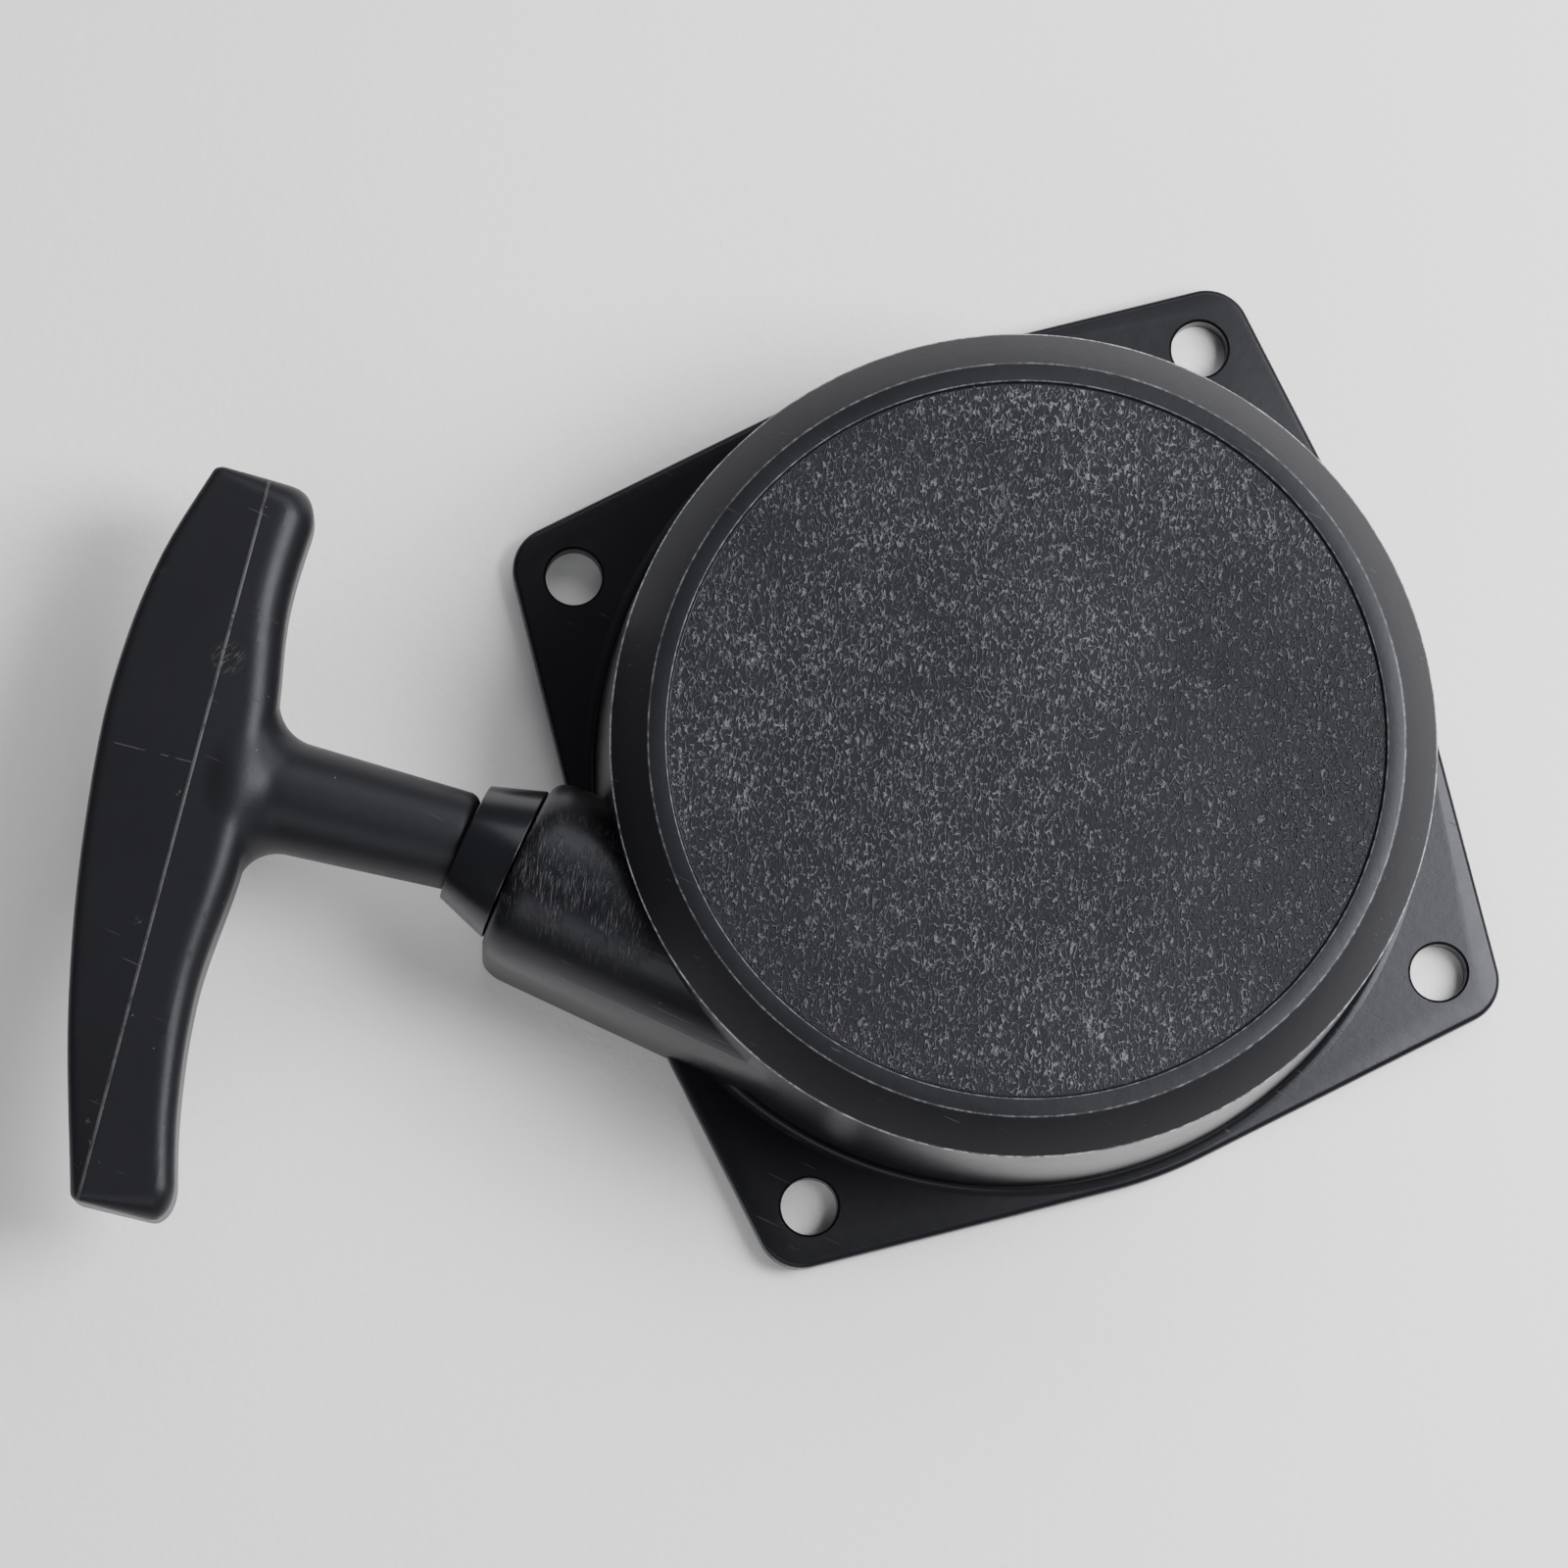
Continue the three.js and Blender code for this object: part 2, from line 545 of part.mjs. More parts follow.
function makeCrossbar() {
  const { topV, bottomV, endRound } = HANDLE;
  const stations = [];
  for (let i = 0; i < 4; i += 1) stations.push(bottomV + endRound * (1 - Math.cos((Math.PI / 2) * (i / 4))));
  const inner = 20;
  for (let i = 0; i <= inner; i += 1) {
    stations.push(THREE.MathUtils.lerp(bottomV + endRound, topV - endRound, i / inner));
  }
  for (let i = 3; i >= 0; i -= 1) stations.push(topV - endRound * (1 - Math.cos((Math.PI / 2) * (i / 4))));
  const sections = stations.map(crossbarSection);
  const count = sections[0].length;
  const index = [];
  for (let s = 0; s + 1 < sections.length; s += 1) {
    for (let i = 0; i < count; i += 1) {
      const [a, b] = [s * count + i, s * count + ((i + 1) % count)];
      index.push(a, b, a + count, b, b + count, a + count);
    }
  }
  const last = (sections.length - 1) * count;
  for (let i = 1; i + 1 < count; i += 1) {
    index.push(0, i + 1, i);
    index.push(last, last + i, last + i + 1);
  }
  const geometry = new THREE.BufferGeometry();
  geometry.setAttribute('position', new THREE.Float32BufferAttribute(sections.flat(2), 3));
  geometry.setIndex(index);
  return geometry;
}

// Turns a piece made about z so that its axis is the stem's, u.
const alongStem = (geometry) => geometry.rotateY(Math.PI / 2);

function makeHandleGrip() {
  const { tipU, tipRadius, tipRound, rootRadius, rootU, flareRadius, boreRadius } = STEM;
  const stem = [[0, tipU], [tipRadius - tipRound, tipU]];
  for (let i = 1; i <= 3; i += 1) {
    const angle = (Math.PI / 2) * (i / 3);
    stem.push([tipRadius - tipRound + tipRound * Math.sin(angle), tipU + tipRound * (1 - Math.cos(angle))]);
  }
  const flare = flareRadius - rootRadius;
  for (let i = 0; i <= 4; i += 1) {
    const angle = (Math.PI / 2) * (i / 4);
    stem.push([flareRadius - flare * Math.cos(angle), rootU + 1.5 * flare * Math.sin(angle)]);
  }
  stem.push([0, rootU + 1.5 * flare]);
  const flat = asSolid(new THREE.BoxGeometry(60, 60, 2 * HANDLE.halfThickness));
  const stemSolid = asSolid(alongStem(turned(stem, 32))).intersect(flat);
  const bore = asSolid(alongStem(disc(boreRadius, tipU - 1, KNOT_POCKET.floorU + 1)));
  const pocket = asSolid(alongStem(disc(KNOT_POCKET.radius, KNOT_POCKET.floorU, 60)));
  return asGeometry(cut(join(asSolid(makeCrossbar()), stemSolid), bore, pocket));
}

function makeHandleWasher() {
  const bottom = KNOT_POCKET.floorU + CLEARANCE;
  const { innerRadius, outerRadius, thickness } = HANDLE_WASHER;
  return alongStem(ring(innerRadius, outerRadius, bottom, bottom + thickness, SMALL_STEPS));
}

function makeHandleKnot() {
  const bottom = KNOT_POCKET.floorU + HANDLE_WASHER.thickness + 2 * CLEARANCE;
  const profile = [
    [0, bottom], [2.4, bottom], [KNOT_RADIUS, bottom + 1.4], [KNOT_RADIUS, bottom + 4], [2.6, bottom + 6],
    [0, bottom + 6.4],
  ];
  return alongStem(turned(profile, PIN_STEPS));
}

// A point of the working frame from handle coordinates.
function fromHandle(u, v) {
  const [c, s] = [Math.cos(radians(HANDLE.yaw)), Math.sin(radians(HANDLE.yaw))];
  return [HANDLE.mouth[0] - u * c - v * s, HANDLE.mouth[1] - u * s + v * c];
}

// The rope from the reel through the bush and the stem to the washer in the handle.
function makeStarterRope() {
  const clearOfCoil = ROPE.outerTurnRadius + ROPE.radius + CLEARANCE;
  const startX = -Math.sqrt(clearOfCoil ** 2 - (ROPE.outerTurnRadius - ROPE.radius) ** 2) - 0.1;
  const points = [[startX, -ROPE.outerTurnRadius], [-30, -ROPE.outerTurnRadius], [-42, -ROPE.outerTurnRadius],
    [-50, NOSE.y], fromHandle(0, 0), fromHandle(8, 0), fromHandle(22, 0),
    fromHandle(KNOT_POCKET.floorU + HANDLE_WASHER.thickness + CLEARANCE, 0)];
  const curve = new THREE.CatmullRomCurve3(points.map(([x, y]) => new THREE.Vector3(x, y, NOSE.z)));
  return swept(roundSection(ROPE.radius, 10), curve, 24);
}

// ---------- assembly ----------

addPiece('housing', makeHousing(), FINISHES.housing);
addPiece('rope_guide_bush', makeRopeGuideBush(), FINISHES.gloss);
addPiece('post_insert', ring(INSERT.innerRadius, INSERT.outerRadius, INSERT.bottom, INSERT.top, SMALL_STEPS),
  FINISHES.brass);
addPiece('centre_screw', makeCentreScrew(), FINISHES.steel);
addPiece('screw_washer', ring(WASHER.innerRadius, WASHER.outerRadius, WASHER.bottom, WASHER.top, 32),
  FINISHES.steel);
addPiece('friction_spring', makeFrictionSpring(), FINISHES.springSteel);
addPiece('spring_case', makeSpringCase(), FINISHES.steel);
addPiece('main_spring', makeMainSpring(), FINISHES.springSteel);

addPiece('reel', makeReel(), FINISHES.reel);
addPiece('reel_bush', ring(REEL_BUSH.innerRadius, REEL_BUSH.outerRadius, REEL_BUSH.bottom, REEL_BUSH.top, 32),
  FINISHES.brass);
addPiece('rope_coil', makeRopeCoil(), FINISHES.rope);
addPiece('reel_knot', makeReelKnot(), FINISHES.rope);

for (const [letter, turn] of [['a', 0], ['b', 180]]) {
  addPiece(`pawl_${letter}`, makePawl(turn), FINISHES.steel);
  addPiece(`pawl_pin_${letter}`, makePawlPin(turn), FINISHES.steel);
  addPiece(`pawl_spring_${letter}`, makePawlSpring(turn), FINISHES.springSteel);
}
addPiece('pawl_guide_plate', makeGuidePlate(), FINISHES.steel);

const handle = new THREE.Group();
handle.position.set(HANDLE.mouth[0], HANDLE.mouth[1], NOSE.z);
handle.rotation.z = Math.PI + radians(HANDLE.yaw);
starter.add(handle);
addPiece('handle_grip', makeHandleGrip(), FINISHES.handle, handle);
addPiece('handle_washer', makeHandleWasher(), FINISHES.steel, handle);
addPiece('handle_knot', makeHandleKnot(), FINISHES.rope, handle);
addPiece('starter_rope', makeStarterRope(), FINISHES.rope);

export default starter;
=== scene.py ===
"""The looks of a recoil starter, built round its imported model.

Shapes are drawn in millimetres about the reel axis, as the maker's drawing is, and placed in metres.
"""
import json
import math

import bmesh
import bpy
import numpy as np
from mathutils import Matrix, Vector


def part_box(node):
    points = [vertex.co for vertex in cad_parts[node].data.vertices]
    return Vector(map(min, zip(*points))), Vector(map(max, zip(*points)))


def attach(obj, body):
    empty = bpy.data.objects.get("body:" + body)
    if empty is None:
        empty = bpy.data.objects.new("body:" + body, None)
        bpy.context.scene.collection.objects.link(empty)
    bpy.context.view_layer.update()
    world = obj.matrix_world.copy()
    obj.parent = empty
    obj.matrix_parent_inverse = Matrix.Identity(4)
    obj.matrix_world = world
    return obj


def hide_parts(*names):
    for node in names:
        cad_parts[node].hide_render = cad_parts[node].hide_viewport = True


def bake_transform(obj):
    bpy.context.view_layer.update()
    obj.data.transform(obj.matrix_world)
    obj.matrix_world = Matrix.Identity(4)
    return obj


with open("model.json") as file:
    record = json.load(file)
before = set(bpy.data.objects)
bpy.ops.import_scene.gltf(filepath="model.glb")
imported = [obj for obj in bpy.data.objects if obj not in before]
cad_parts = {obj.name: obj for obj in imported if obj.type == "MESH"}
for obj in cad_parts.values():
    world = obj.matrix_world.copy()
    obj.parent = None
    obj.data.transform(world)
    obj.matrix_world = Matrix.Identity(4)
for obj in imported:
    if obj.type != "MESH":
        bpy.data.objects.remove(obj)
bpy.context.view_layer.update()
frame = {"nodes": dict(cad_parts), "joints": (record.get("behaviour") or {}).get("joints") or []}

MM = 0.001
JOINTS = {joint["name"]: joint for joint in frame["joints"]}
REEL_AXIS = Vector(JOINTS["reel_spin"]["pos_m"])
ROPE_HEIGHT = REEL_AXIS.z / MM
PULL = Vector(JOINTS["handle_pull"]["axis"])
PULL_LENGTH = JOINTS["handle_pull"]["range_m"][1] / MM
PAWL_PIVOT = (Vector(JOINTS["pawl_a_swing"]["pos_m"]) - REEL_AXIS).x / MM


def node_span(node, axis):
    """A node's lowest and highest millimetre along an axis, from the reel axis or the engine face."""
    low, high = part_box(node)
    start = 0 if axis == 2 else REEL_AXIS[axis]
    return (low[axis] - start) / MM, (high[axis] - start) / MM


# ---------- driving sizes, in millimetres ----------

FLANGE_THICKNESS = 4.0
FLANGE_BODY = 52.4
FLANGE_LOBE = 5.4
FLANGE_LOBE_AT = 60.3
HOLE_RADIUS = 3.45
HOLE_AT = 58.0

CAN_FOOT = 51.6
CAN_EDGE = 48.9
CAN_EDGE_HEIGHT = 34.9
CAN_CREASE = 44.5
CAN_RECESS = 42.4
CAN_TOP = node_span("housing", 2)[1]
RECESS_DEPTH = 0.5
CEILING = 37.0
POST_BORE = 4.5
POST_RADIUS = 6.3
STUD_AT = 24
STUDS = 3

NOSE_Y = -36.8
NOSE_RADIUS = 11.6
NOSE_END = -48.8
NOSE_ROOT = -4.0
NOSE_WALL = 2.6
NOSE_BORE = 6.5
BUSH_PASSAGE = 2.55
BUSH_NECK = 6.2
BUSH_LENGTH = 6.8
BUSH_BASE = 9.6
BUSH_TIP = 7.3
BUSH_SPIGOT = 12.0

ROPE_RADIUS = 1.75
ROPE_OUTER_TURN = 36.8
ROPE_LAYER = 3.4
GROOVE_RADIUS = 31.4
GROOVE_HALF = 4.4
REEL_BORE = 8.4
REEL_HUB = 11.5
REEL_SKIRT = 29.2
REEL_RIM = 1.8
RIB_BOTTOM = 14.8

# The grip is drawn with u along its stem from the mouth, v along the bar and w through it.
MOUTH = Vector((-55.6, -36.95, ROPE_HEIGHT))
PARTING_U = 33.2
GRIP_TOP = 35.9
GRIP_BOTTOM = -53.0
PALM_LINE = [(36, 39.8), (24, 43.3), (8, 45.0), (-10, 43.8), (-30, 40.4), (-53, 34.1)]
FINGER_LINE = [(36, 26.6), (22, 27.2), (8, 25.3), (-10, 24.9), (-26, 26), (-40, 24.5), (-53, 21.4)]
POCKET_FLOOR = 36.4
POCKET_RADIUS = 5.4

PAWL_BOSS = 4.1
PAWL_LENGTH = 16.5
PAWL_REST = -93
PAWL_SWING = 32
PEG_REACH = 8.5
PEG_RADIUS = 1.25
PLATE_SHARE = 0.75


# ---------- meshes ----------

def new_object(name, mesh):
    thing = bpy.data.objects.new(name, mesh)
    bpy.context.scene.collection.objects.link(thing)
    return thing


def solid(name, points, faces):
    """A closed mesh with its faces pointing outwards."""
    mesh = bpy.data.meshes.new(name)
    mesh.from_pydata([tuple(map(float, p)) for p in points], [], faces)
    work = bmesh.new()
    work.from_mesh(mesh)
    bmesh.ops.remove_doubles(work, verts=work.verts, dist=1e-5)
    bmesh.ops.dissolve_degenerate(work, dist=1e-6, edges=work.edges)
    bmesh.ops.recalc_face_normals(work, faces=work.faces)
    if work.calc_volume(signed=True) < 0:
        bmesh.ops.reverse_faces(work, faces=work.faces)
    work.to_mesh(mesh)
    work.free()
    return new_object(name, mesh)


def evaluated_mesh(thing):
    """A new mesh of a thing with its modifiers applied."""
    bpy.context.view_layer.update()
    graph = bpy.context.evaluated_depsgraph_get()
    return bpy.data.meshes.new_from_object(thing.evaluated_get(graph))


def combine(base, operation, *others):
    """Joins other solids to a base, cuts them from it or keeps what they share, and uses them up."""
    for other in others:
        modifier = base.modifiers.new("combine", "BOOLEAN")
        modifier.operation = operation
        modifier.object = other
        modifier.solver = "MANIFOLD"
        mesh = evaluated_mesh(base)
        base.modifiers.clear()
        base.data = mesh
        bpy.data.objects.remove(other)
    return base


def join(base, *others):
    return combine(base, "UNION", *others)


def cut(base, *others):
    return combine(base, "DIFFERENCE", *others)


def move(thing, x=0.0, y=0.0, z=0.0, turn=0.0):
    """Turns a shape about z by some degrees, after shifting it."""
    thing.data.transform(Matrix.Rotation(math.radians(turn), 4, "Z") @ Matrix.Translation((x, y, z)))
    return thing


def finished(thing, material, body, replaces=(), smooth=32, place=None):
    """Places a drawn shape in the frame, in metres, and gives it its finish and its body."""
    if place is None:
        place = Matrix.Translation((REEL_AXIS.x, REEL_AXIS.y, 0))
    thing.data.transform(place @ Matrix.Scale(MM, 4))
    thing.data.materials.clear()
    thing.data.materials.append(material)
    thing.data.shade_smooth()
    thing.data.set_sharp_from_angle(angle=math.radians(smooth))
    if body:
        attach(thing, body)
    if replaces:
        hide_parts(*replaces)
    return thing


def rounded(corners, steps=6):
    """The corners (a, b, radius) of an open line as points, each corner with its radius."""
    points = []
    for i, (a, b, radius) in enumerate(corners):
        here = Vector((a, b))
        if not radius or i in (0, len(corners) - 1):
            points.append(here)
            continue
        back = (Vector(corners[i - 1][:2]) - here).normalized()
        ahead = (Vector(corners[i + 1][:2]) - here).normalized()
        half = back.angle(ahead) / 2
        centre = here + (back + ahead).normalized() * radius / math.sin(half)
        first = here + back * radius / math.tan(half) - centre
        last = here + ahead * radius / math.tan(half) - centre
        sweep = first.angle_signed(last)
        for k in range(steps + 1):
            points.append(centre + Matrix.Rotation(-sweep * k / steps, 2) @ first)
    return [tuple(p) for p in points]


def turned(name, corners, steps=192, arc_steps=6):
    """A profile of (radius, height, corner radius) turned about z; one off the axis closes on itself."""
    profile = rounded(corners, arc_steps)
    on_axis = profile[0][0] < 1e-6
    points, rings = [], []
    for radius, height in profile:
        if radius < 1e-6:
            rings.append([len(points)] * steps)
            points.append((0, 0, height))
            continue
        rings.append(list(range(len(points), len(points) + steps)))
        for k in range(steps):
            angle = 2 * math.pi * k / steps
            points.append((radius * math.cos(angle), radius * math.sin(angle), height))
    if not on_axis:
        rings.append(rings[0])
    faces = []
    for low, high in zip(rings, rings[1:]):
        for k in range(steps):
            after = (k + 1) % steps
            face = [low[k], low[after], high[after], high[k]]
            face = [v for i, v in enumerate(face) if v != face[i - 1]]
            if len(face) > 2:
                faces.append(face)
    return solid(name, points, faces)


def disc(name, radius, bottom, top, steps=64, edge=0.0):
    """A round disc or pin about z, with its two edges eased."""
    corners = [(0, bottom, 0), (radius, bottom, edge), (radius, top, edge), (0, top, 0)]
    return turned(name, corners, steps, 3)


def lofted(name, sections):
    """A closed skin through sections that have the same number of points, with flat ends."""
    count = len(sections[0])
    points = [p for section in sections for p in section]
    faces = []
    for s in range(len(sections) - 1):
        for k in range(count):
            after = (k + 1) % count
            faces.append([s * count + k, s * count + after, (s + 1) * count + after, (s + 1) * count + k])
    faces.append(list(range(count))[::-1])
    faces.append(list(range((len(sections) - 1) * count, len(sections) * count)))
    return solid(name, points, faces)


def box(name, size, centre):
    corners = [Vector(centre) + Vector((x * size[0], y * size[1], z * size[2])) / 2
               for x in (-1, 1) for y in (-1, 1) for z in (-1, 1)]
    faces = [[0, 1, 3, 2], [4, 6, 7, 5], [0, 4, 5, 1], [2, 3, 7, 6], [0, 2, 6, 4], [1, 5, 7, 3]]
    return solid(name, corners, faces)


def flat_plate(name, loops, bottom, top, edge):
    """A flat plate with holes and eased edges: the first loop is its outline and the others are holes."""
    curve = bpy.data.curves.new(name, "CURVE")
    curve.dimensions = "2D"
    curve.fill_mode = "BOTH"
    curve.extrude = (top - bottom) / 2 - edge
    curve.bevel_depth = edge
    curve.bevel_resolution = 2
    curve.offset = -edge
    for loop in loops:
        spline = curve.splines.new("POLY")
        spline.points.add(len(loop) - 1)
        spline.use_cyclic_u = True
        for point, (x, y) in zip(spline.points, loop):
            point.co = (x, y, 0, 1)
    drawn = new_object(name + "_outline", curve)
    mesh = evaluated_mesh(drawn)
    bpy.data.objects.remove(drawn)
    work = bmesh.new()
    work.from_mesh(mesh)
    bmesh.ops.remove_doubles(work, verts=work.verts, dist=1e-4)
    bmesh.ops.recalc_face_normals(work, faces=work.faces)
    work.to_mesh(mesh)
    work.free()
    mesh.transform(Matrix.Translation((0, 0, (top + bottom) / 2)))
    return new_object(name, mesh)


def tube(name, path, radius, sides=12, lengths=None):
    """A round tube along a path, with a UV map of turns round it and millimetres along it."""
    path = [Vector(p) for p in path]
    last = len(path) - 1
    tangents = [(path[min(i + 1, last)] - path[max(i - 1, 0)]).normalized() for i in range(len(path))]
    normal = tangents[0].orthogonal().normalized()
    frames = []
    for tangent in tangents:
        normal = (normal - tangent * normal.dot(tangent)).normalized()
        frames.append((normal, tangent.cross(normal)))
    if lengths is None:
        lengths = [0.0]
        for a, b in zip(path, path[1:]):
            lengths.append(lengths[-1] + (b - a).length)
    points, faces, uvs = [], [], []
    for centre, (across, up) in zip(path, frames):
        for k in range(sides):
            angle = 2 * math.pi * k / sides
            points.append(centre + (across * math.cos(angle) + up * math.sin(angle)) * radius)
    for i in range(last):
        for k in range(sides):
            after = (k + 1) % sides
            faces.append([i * sides + k, i * sides + after, (i + 1) * sides + after, (i + 1) * sides + k])
            low, high = lengths[i], lengths[i + 1]
            uvs += [(k / sides, low), ((k + 1) / sides, low), ((k + 1) / sides, high), (k / sides, high)]
    for start, length in ((0, lengths[0]), (last * sides, lengths[-1])):
        ring = list(range(start, start + sides))
        faces.append(ring[::-1] if start == 0 else ring)
        uvs += [(0.0, length)] * sides
    mesh = bpy.data.meshes.new(name)
    mesh.from_pydata([tuple(p) for p in points], [], faces)
    layer = mesh.uv_layers.new(name="along")
    layer.data.foreach_set("uv", [value for uv in uvs for value in uv])
    thing = new_object(name, mesh)
    work = bmesh.new()
    work.from_mesh(mesh)
    if work.calc_volume(signed=True) < 0:
        bmesh.ops.reverse_faces(work, faces=work.faces)
        work.to_mesh(mesh)
    work.free()
    return thing


def polar(radius, degrees):
    """The point at a radius and an angle."""
    return radius * math.cos(math.radians(degrees)), radius * math.sin(math.radians(degrees))


def arc(centre, radius, start, end, steps):
    """Points along an arc, from one angle to another."""
    points = [polar(radius, start + (end - start) * k / steps) for k in range(steps + 1)]
    return [(centre[0] + x, centre[1] + y) for x, y in points]


# ---------- geometry nodes ----------

class NodeTree:
    """Short calls for building a node tree, where a value may be a number or another node's socket."""

    def __init__(self, tree):
        self.tree = tree

    def add(self, kind, **settings):
        node = self.tree.nodes.new(kind)
        for name, value in settings.items():
            setattr(node, name, value)
        return node

    def put(self, socket, value):
        if isinstance(value, bpy.types.NodeSocket):
            self.tree.links.new(value, socket)
        elif value is not None:
            socket.default_value = value

    def feed(self, node, values):
        for key, value in values.items():
            self.put(node.inputs[key], value)
        return node

    def math(self, operation, a, b=None, c=None, clamp=False):
        node = self.add("ShaderNodeMath", operation=operation, use_clamp=clamp)
        self.feed(node, {0: a, 1: b, 2: c})
        return node.outputs[0]

    def vector(self, operation, a, b=None):
        node = self.add("ShaderNodeVectorMath", operation=operation)
        self.feed(node, {0: a, 1: b})
        return node.outputs["Value" if operation in ("LENGTH", "DISTANCE", "DOT_PRODUCT") else "Vector"]

    def remap(self, value, low, high, to_low=0.0, to_high=1.0, smooth=True):
        node = self.add("ShaderNodeMapRange", interpolation_type="SMOOTHSTEP" if smooth else "LINEAR")
        self.feed(node, {
            "Value": value, "From Min": low, "From Max": high, "To Min": to_low, "To Max": to_high})
        return node.outputs["Result"]

    def mix(self, share, a, b):
        node = self.add("ShaderNodeMix", data_type="RGBA")
        self.feed(node, {0: share, 6: a, 7: b})
        return node.outputs[2]

    def noise(self, vector, scale, detail=2.0, roughness=0.5, distortion=0.0):
        node = self.add("ShaderNodeTexNoise", noise_dimensions="3D")
        self.feed(node, {"Vector": vector, "Scale": scale, "Detail": detail, "Roughness": roughness,
                         "Distortion": distortion})
        return node.outputs["Fac"]


def geometry_tree(name, inputs):
    """A geometry node tree with named number inputs. It gives back its builder, inputs and output socket."""
    tree = bpy.data.node_groups.new(name, "GeometryNodeTree")
    tree.interface.new_socket("Geometry", in_out="INPUT", socket_type="NodeSocketGeometry")
    for label, kind, value in inputs:
        socket = tree.interface.new_socket(label, in_out="INPUT", socket_type=kind)
        socket.default_value = value
    tree.interface.new_socket("Geometry", in_out="OUTPUT", socket_type="NodeSocketGeometry")
    build = NodeTree(tree)
    return build, build.add("NodeGroupInput").outputs, build.add("NodeGroupOutput").inputs[0]


def grown(name, tree, values, material=None):
    """The mesh that a geometry node tree makes with these input values."""
    seed = new_object(name, bpy.data.meshes.new(name))
    modifier = seed.modifiers.new("grow", "NODES")
    modifier.node_group = tree
    for item in tree.interface.items_tree:
        if item.item_type == "SOCKET" and item.in_out == "INPUT" and item.name in values:
            modifier[item.identifier] = values[item.name]
    mesh = evaluated_mesh(seed)
    seed.modifiers.clear()
    seed.data = mesh
    if material:
        mesh.materials.clear()
        mesh.materials.append(material)
    return seed


def coiled_strip_tree():
    """A strip or wire wound in a spiral or a helix."""
    number, whole = "NodeSocketFloat", "NodeSocketInt"
    build, given, result = geometry_tree("coiled strip", [
        ("Turns", number, 3.0), ("Steps", whole, 64), ("Inner radius", number, 5.0),
        ("Outer radius", number, 5.0), ("Rise", number, 3.0), ("Thickness", number, 0.8),
        ("Height", number, 0.8), ("Material", "NodeSocketMaterial", None),
    ])
    spiral = build.feed(build.add("GeometryNodeCurveSpiral"), {
        "Resolution": given["Steps"], "Rotations": given["Turns"], "Start Radius": given["Inner radius"],
        "End Radius": given["Outer radius"], "Height": given["Rise"]})
    upright = build.feed(build.add("GeometryNodeSetCurveNormal", mode="Z_UP"), {"Curve": spiral.outputs[0]})
    circle = build.feed(build.add("GeometryNodeCurvePrimitiveCircle"), {"Resolution": 10, "Radius": 0.5})
    strip = build.feed(build.add("GeometryNodeCurvePrimitiveQuadrilateral"), {
        "Width": given["Thickness"], "Height": given["Height"]})
    sized = build.feed(build.add("GeometryNodeTransform"), {"Geometry": circle.outputs[0]})
    scale = build.add("ShaderNodeCombineXYZ")
    build.feed(scale, {"X": given["Thickness"], "Y": given["Height"], "Z": 1.0})
    build.put(sized.inputs["Scale"], scale.outputs[0])
    is_strip = build.math("GREATER_THAN", given["Height"], build.math("MULTIPLY", given["Thickness"], 2.0))
    section = build.feed(build.add("GeometryNodeSwitch", input_type="GEOMETRY"), {
        "Switch": is_strip, "False": sized.outputs[0], "True": strip.outputs[0]})
    swept = build.feed(build.add("GeometryNodeCurveToMesh"), {
        "Curve": upright.outputs[0], "Profile Curve": section.outputs[0], "Fill Caps": True})
    real = build.feed(build.add("GeometryNodeRealizeInstances"), {"Geometry": swept.outputs[0]})
    coated = build.feed(build.add("GeometryNodeSetMaterial"), {
        "Geometry": real.outputs[0], "Material": given["Material"]})
    build.put(result, coated.outputs[0])
    return build.tree


def spokes_tree():
    """Straight ribs set round an axis."""
    number, whole = "NodeSocketFloat", "NodeSocketInt"
    build, given, result = geometry_tree("spokes", [
        ("Count", whole, 8), ("First radius", number, 11.0), ("Length", number, 18.0),
        ("Width", number, 1.6), ("Bottom", number, 15.0), ("Height", number, 10.0),
        ("Turn", number, 0.0), ("Material", "NodeSocketMaterial", None),
    ])
    size = build.feed(build.add("ShaderNodeCombineXYZ"), {
        "X": given["Length"], "Y": given["Width"], "Z": given["Height"]})
    rib = build.feed(build.add("GeometryNodeMeshCube"), {"Size": size.outputs[0]})
    across = build.math("MULTIPLY_ADD", given["Length"], 0.5, given["First radius"])
    above = build.math("MULTIPLY_ADD", given["Height"], 0.5, given["Bottom"])
    place = build.feed(build.add("ShaderNodeCombineXYZ"), {"X": across, "Y": 0.0, "Z": above})
    shifted = build.feed(build.add("GeometryNodeTransform"), {
        "Geometry": rib.outputs[0], "Translation": place.outputs[0]})
    line = build.feed(build.add("GeometryNodeMeshLine"), {"Count": given["Count"], "Offset": (0, 0, 0)})
    points = build.feed(build.add("GeometryNodeMeshToPoints"), {"Mesh": line.outputs[0]})
    step = build.math("DIVIDE", 2 * math.pi, given["Count"])
    angle = build.math("MULTIPLY_ADD", build.add("GeometryNodeInputIndex").outputs[0], step, given["Turn"])
    rotation = build.feed(build.add("ShaderNodeCombineXYZ"), {"Z": angle})
    copies = build.feed(build.add("GeometryNodeInstanceOnPoints"), {
        "Points": points.outputs[0], "Instance": shifted.outputs[0], "Rotation": rotation.outputs[0]})
    real = build.feed(build.add("GeometryNodeRealizeInstances"), {"Geometry": copies.outputs[0]})
    coated = build.feed(build.add("GeometryNodeSetMaterial"), {
        "Geometry": real.outputs[0], "Material": given["Material"]})
    build.put(result, coated.outputs[0])
    return build.tree


# ---------- shared surface effects ----------

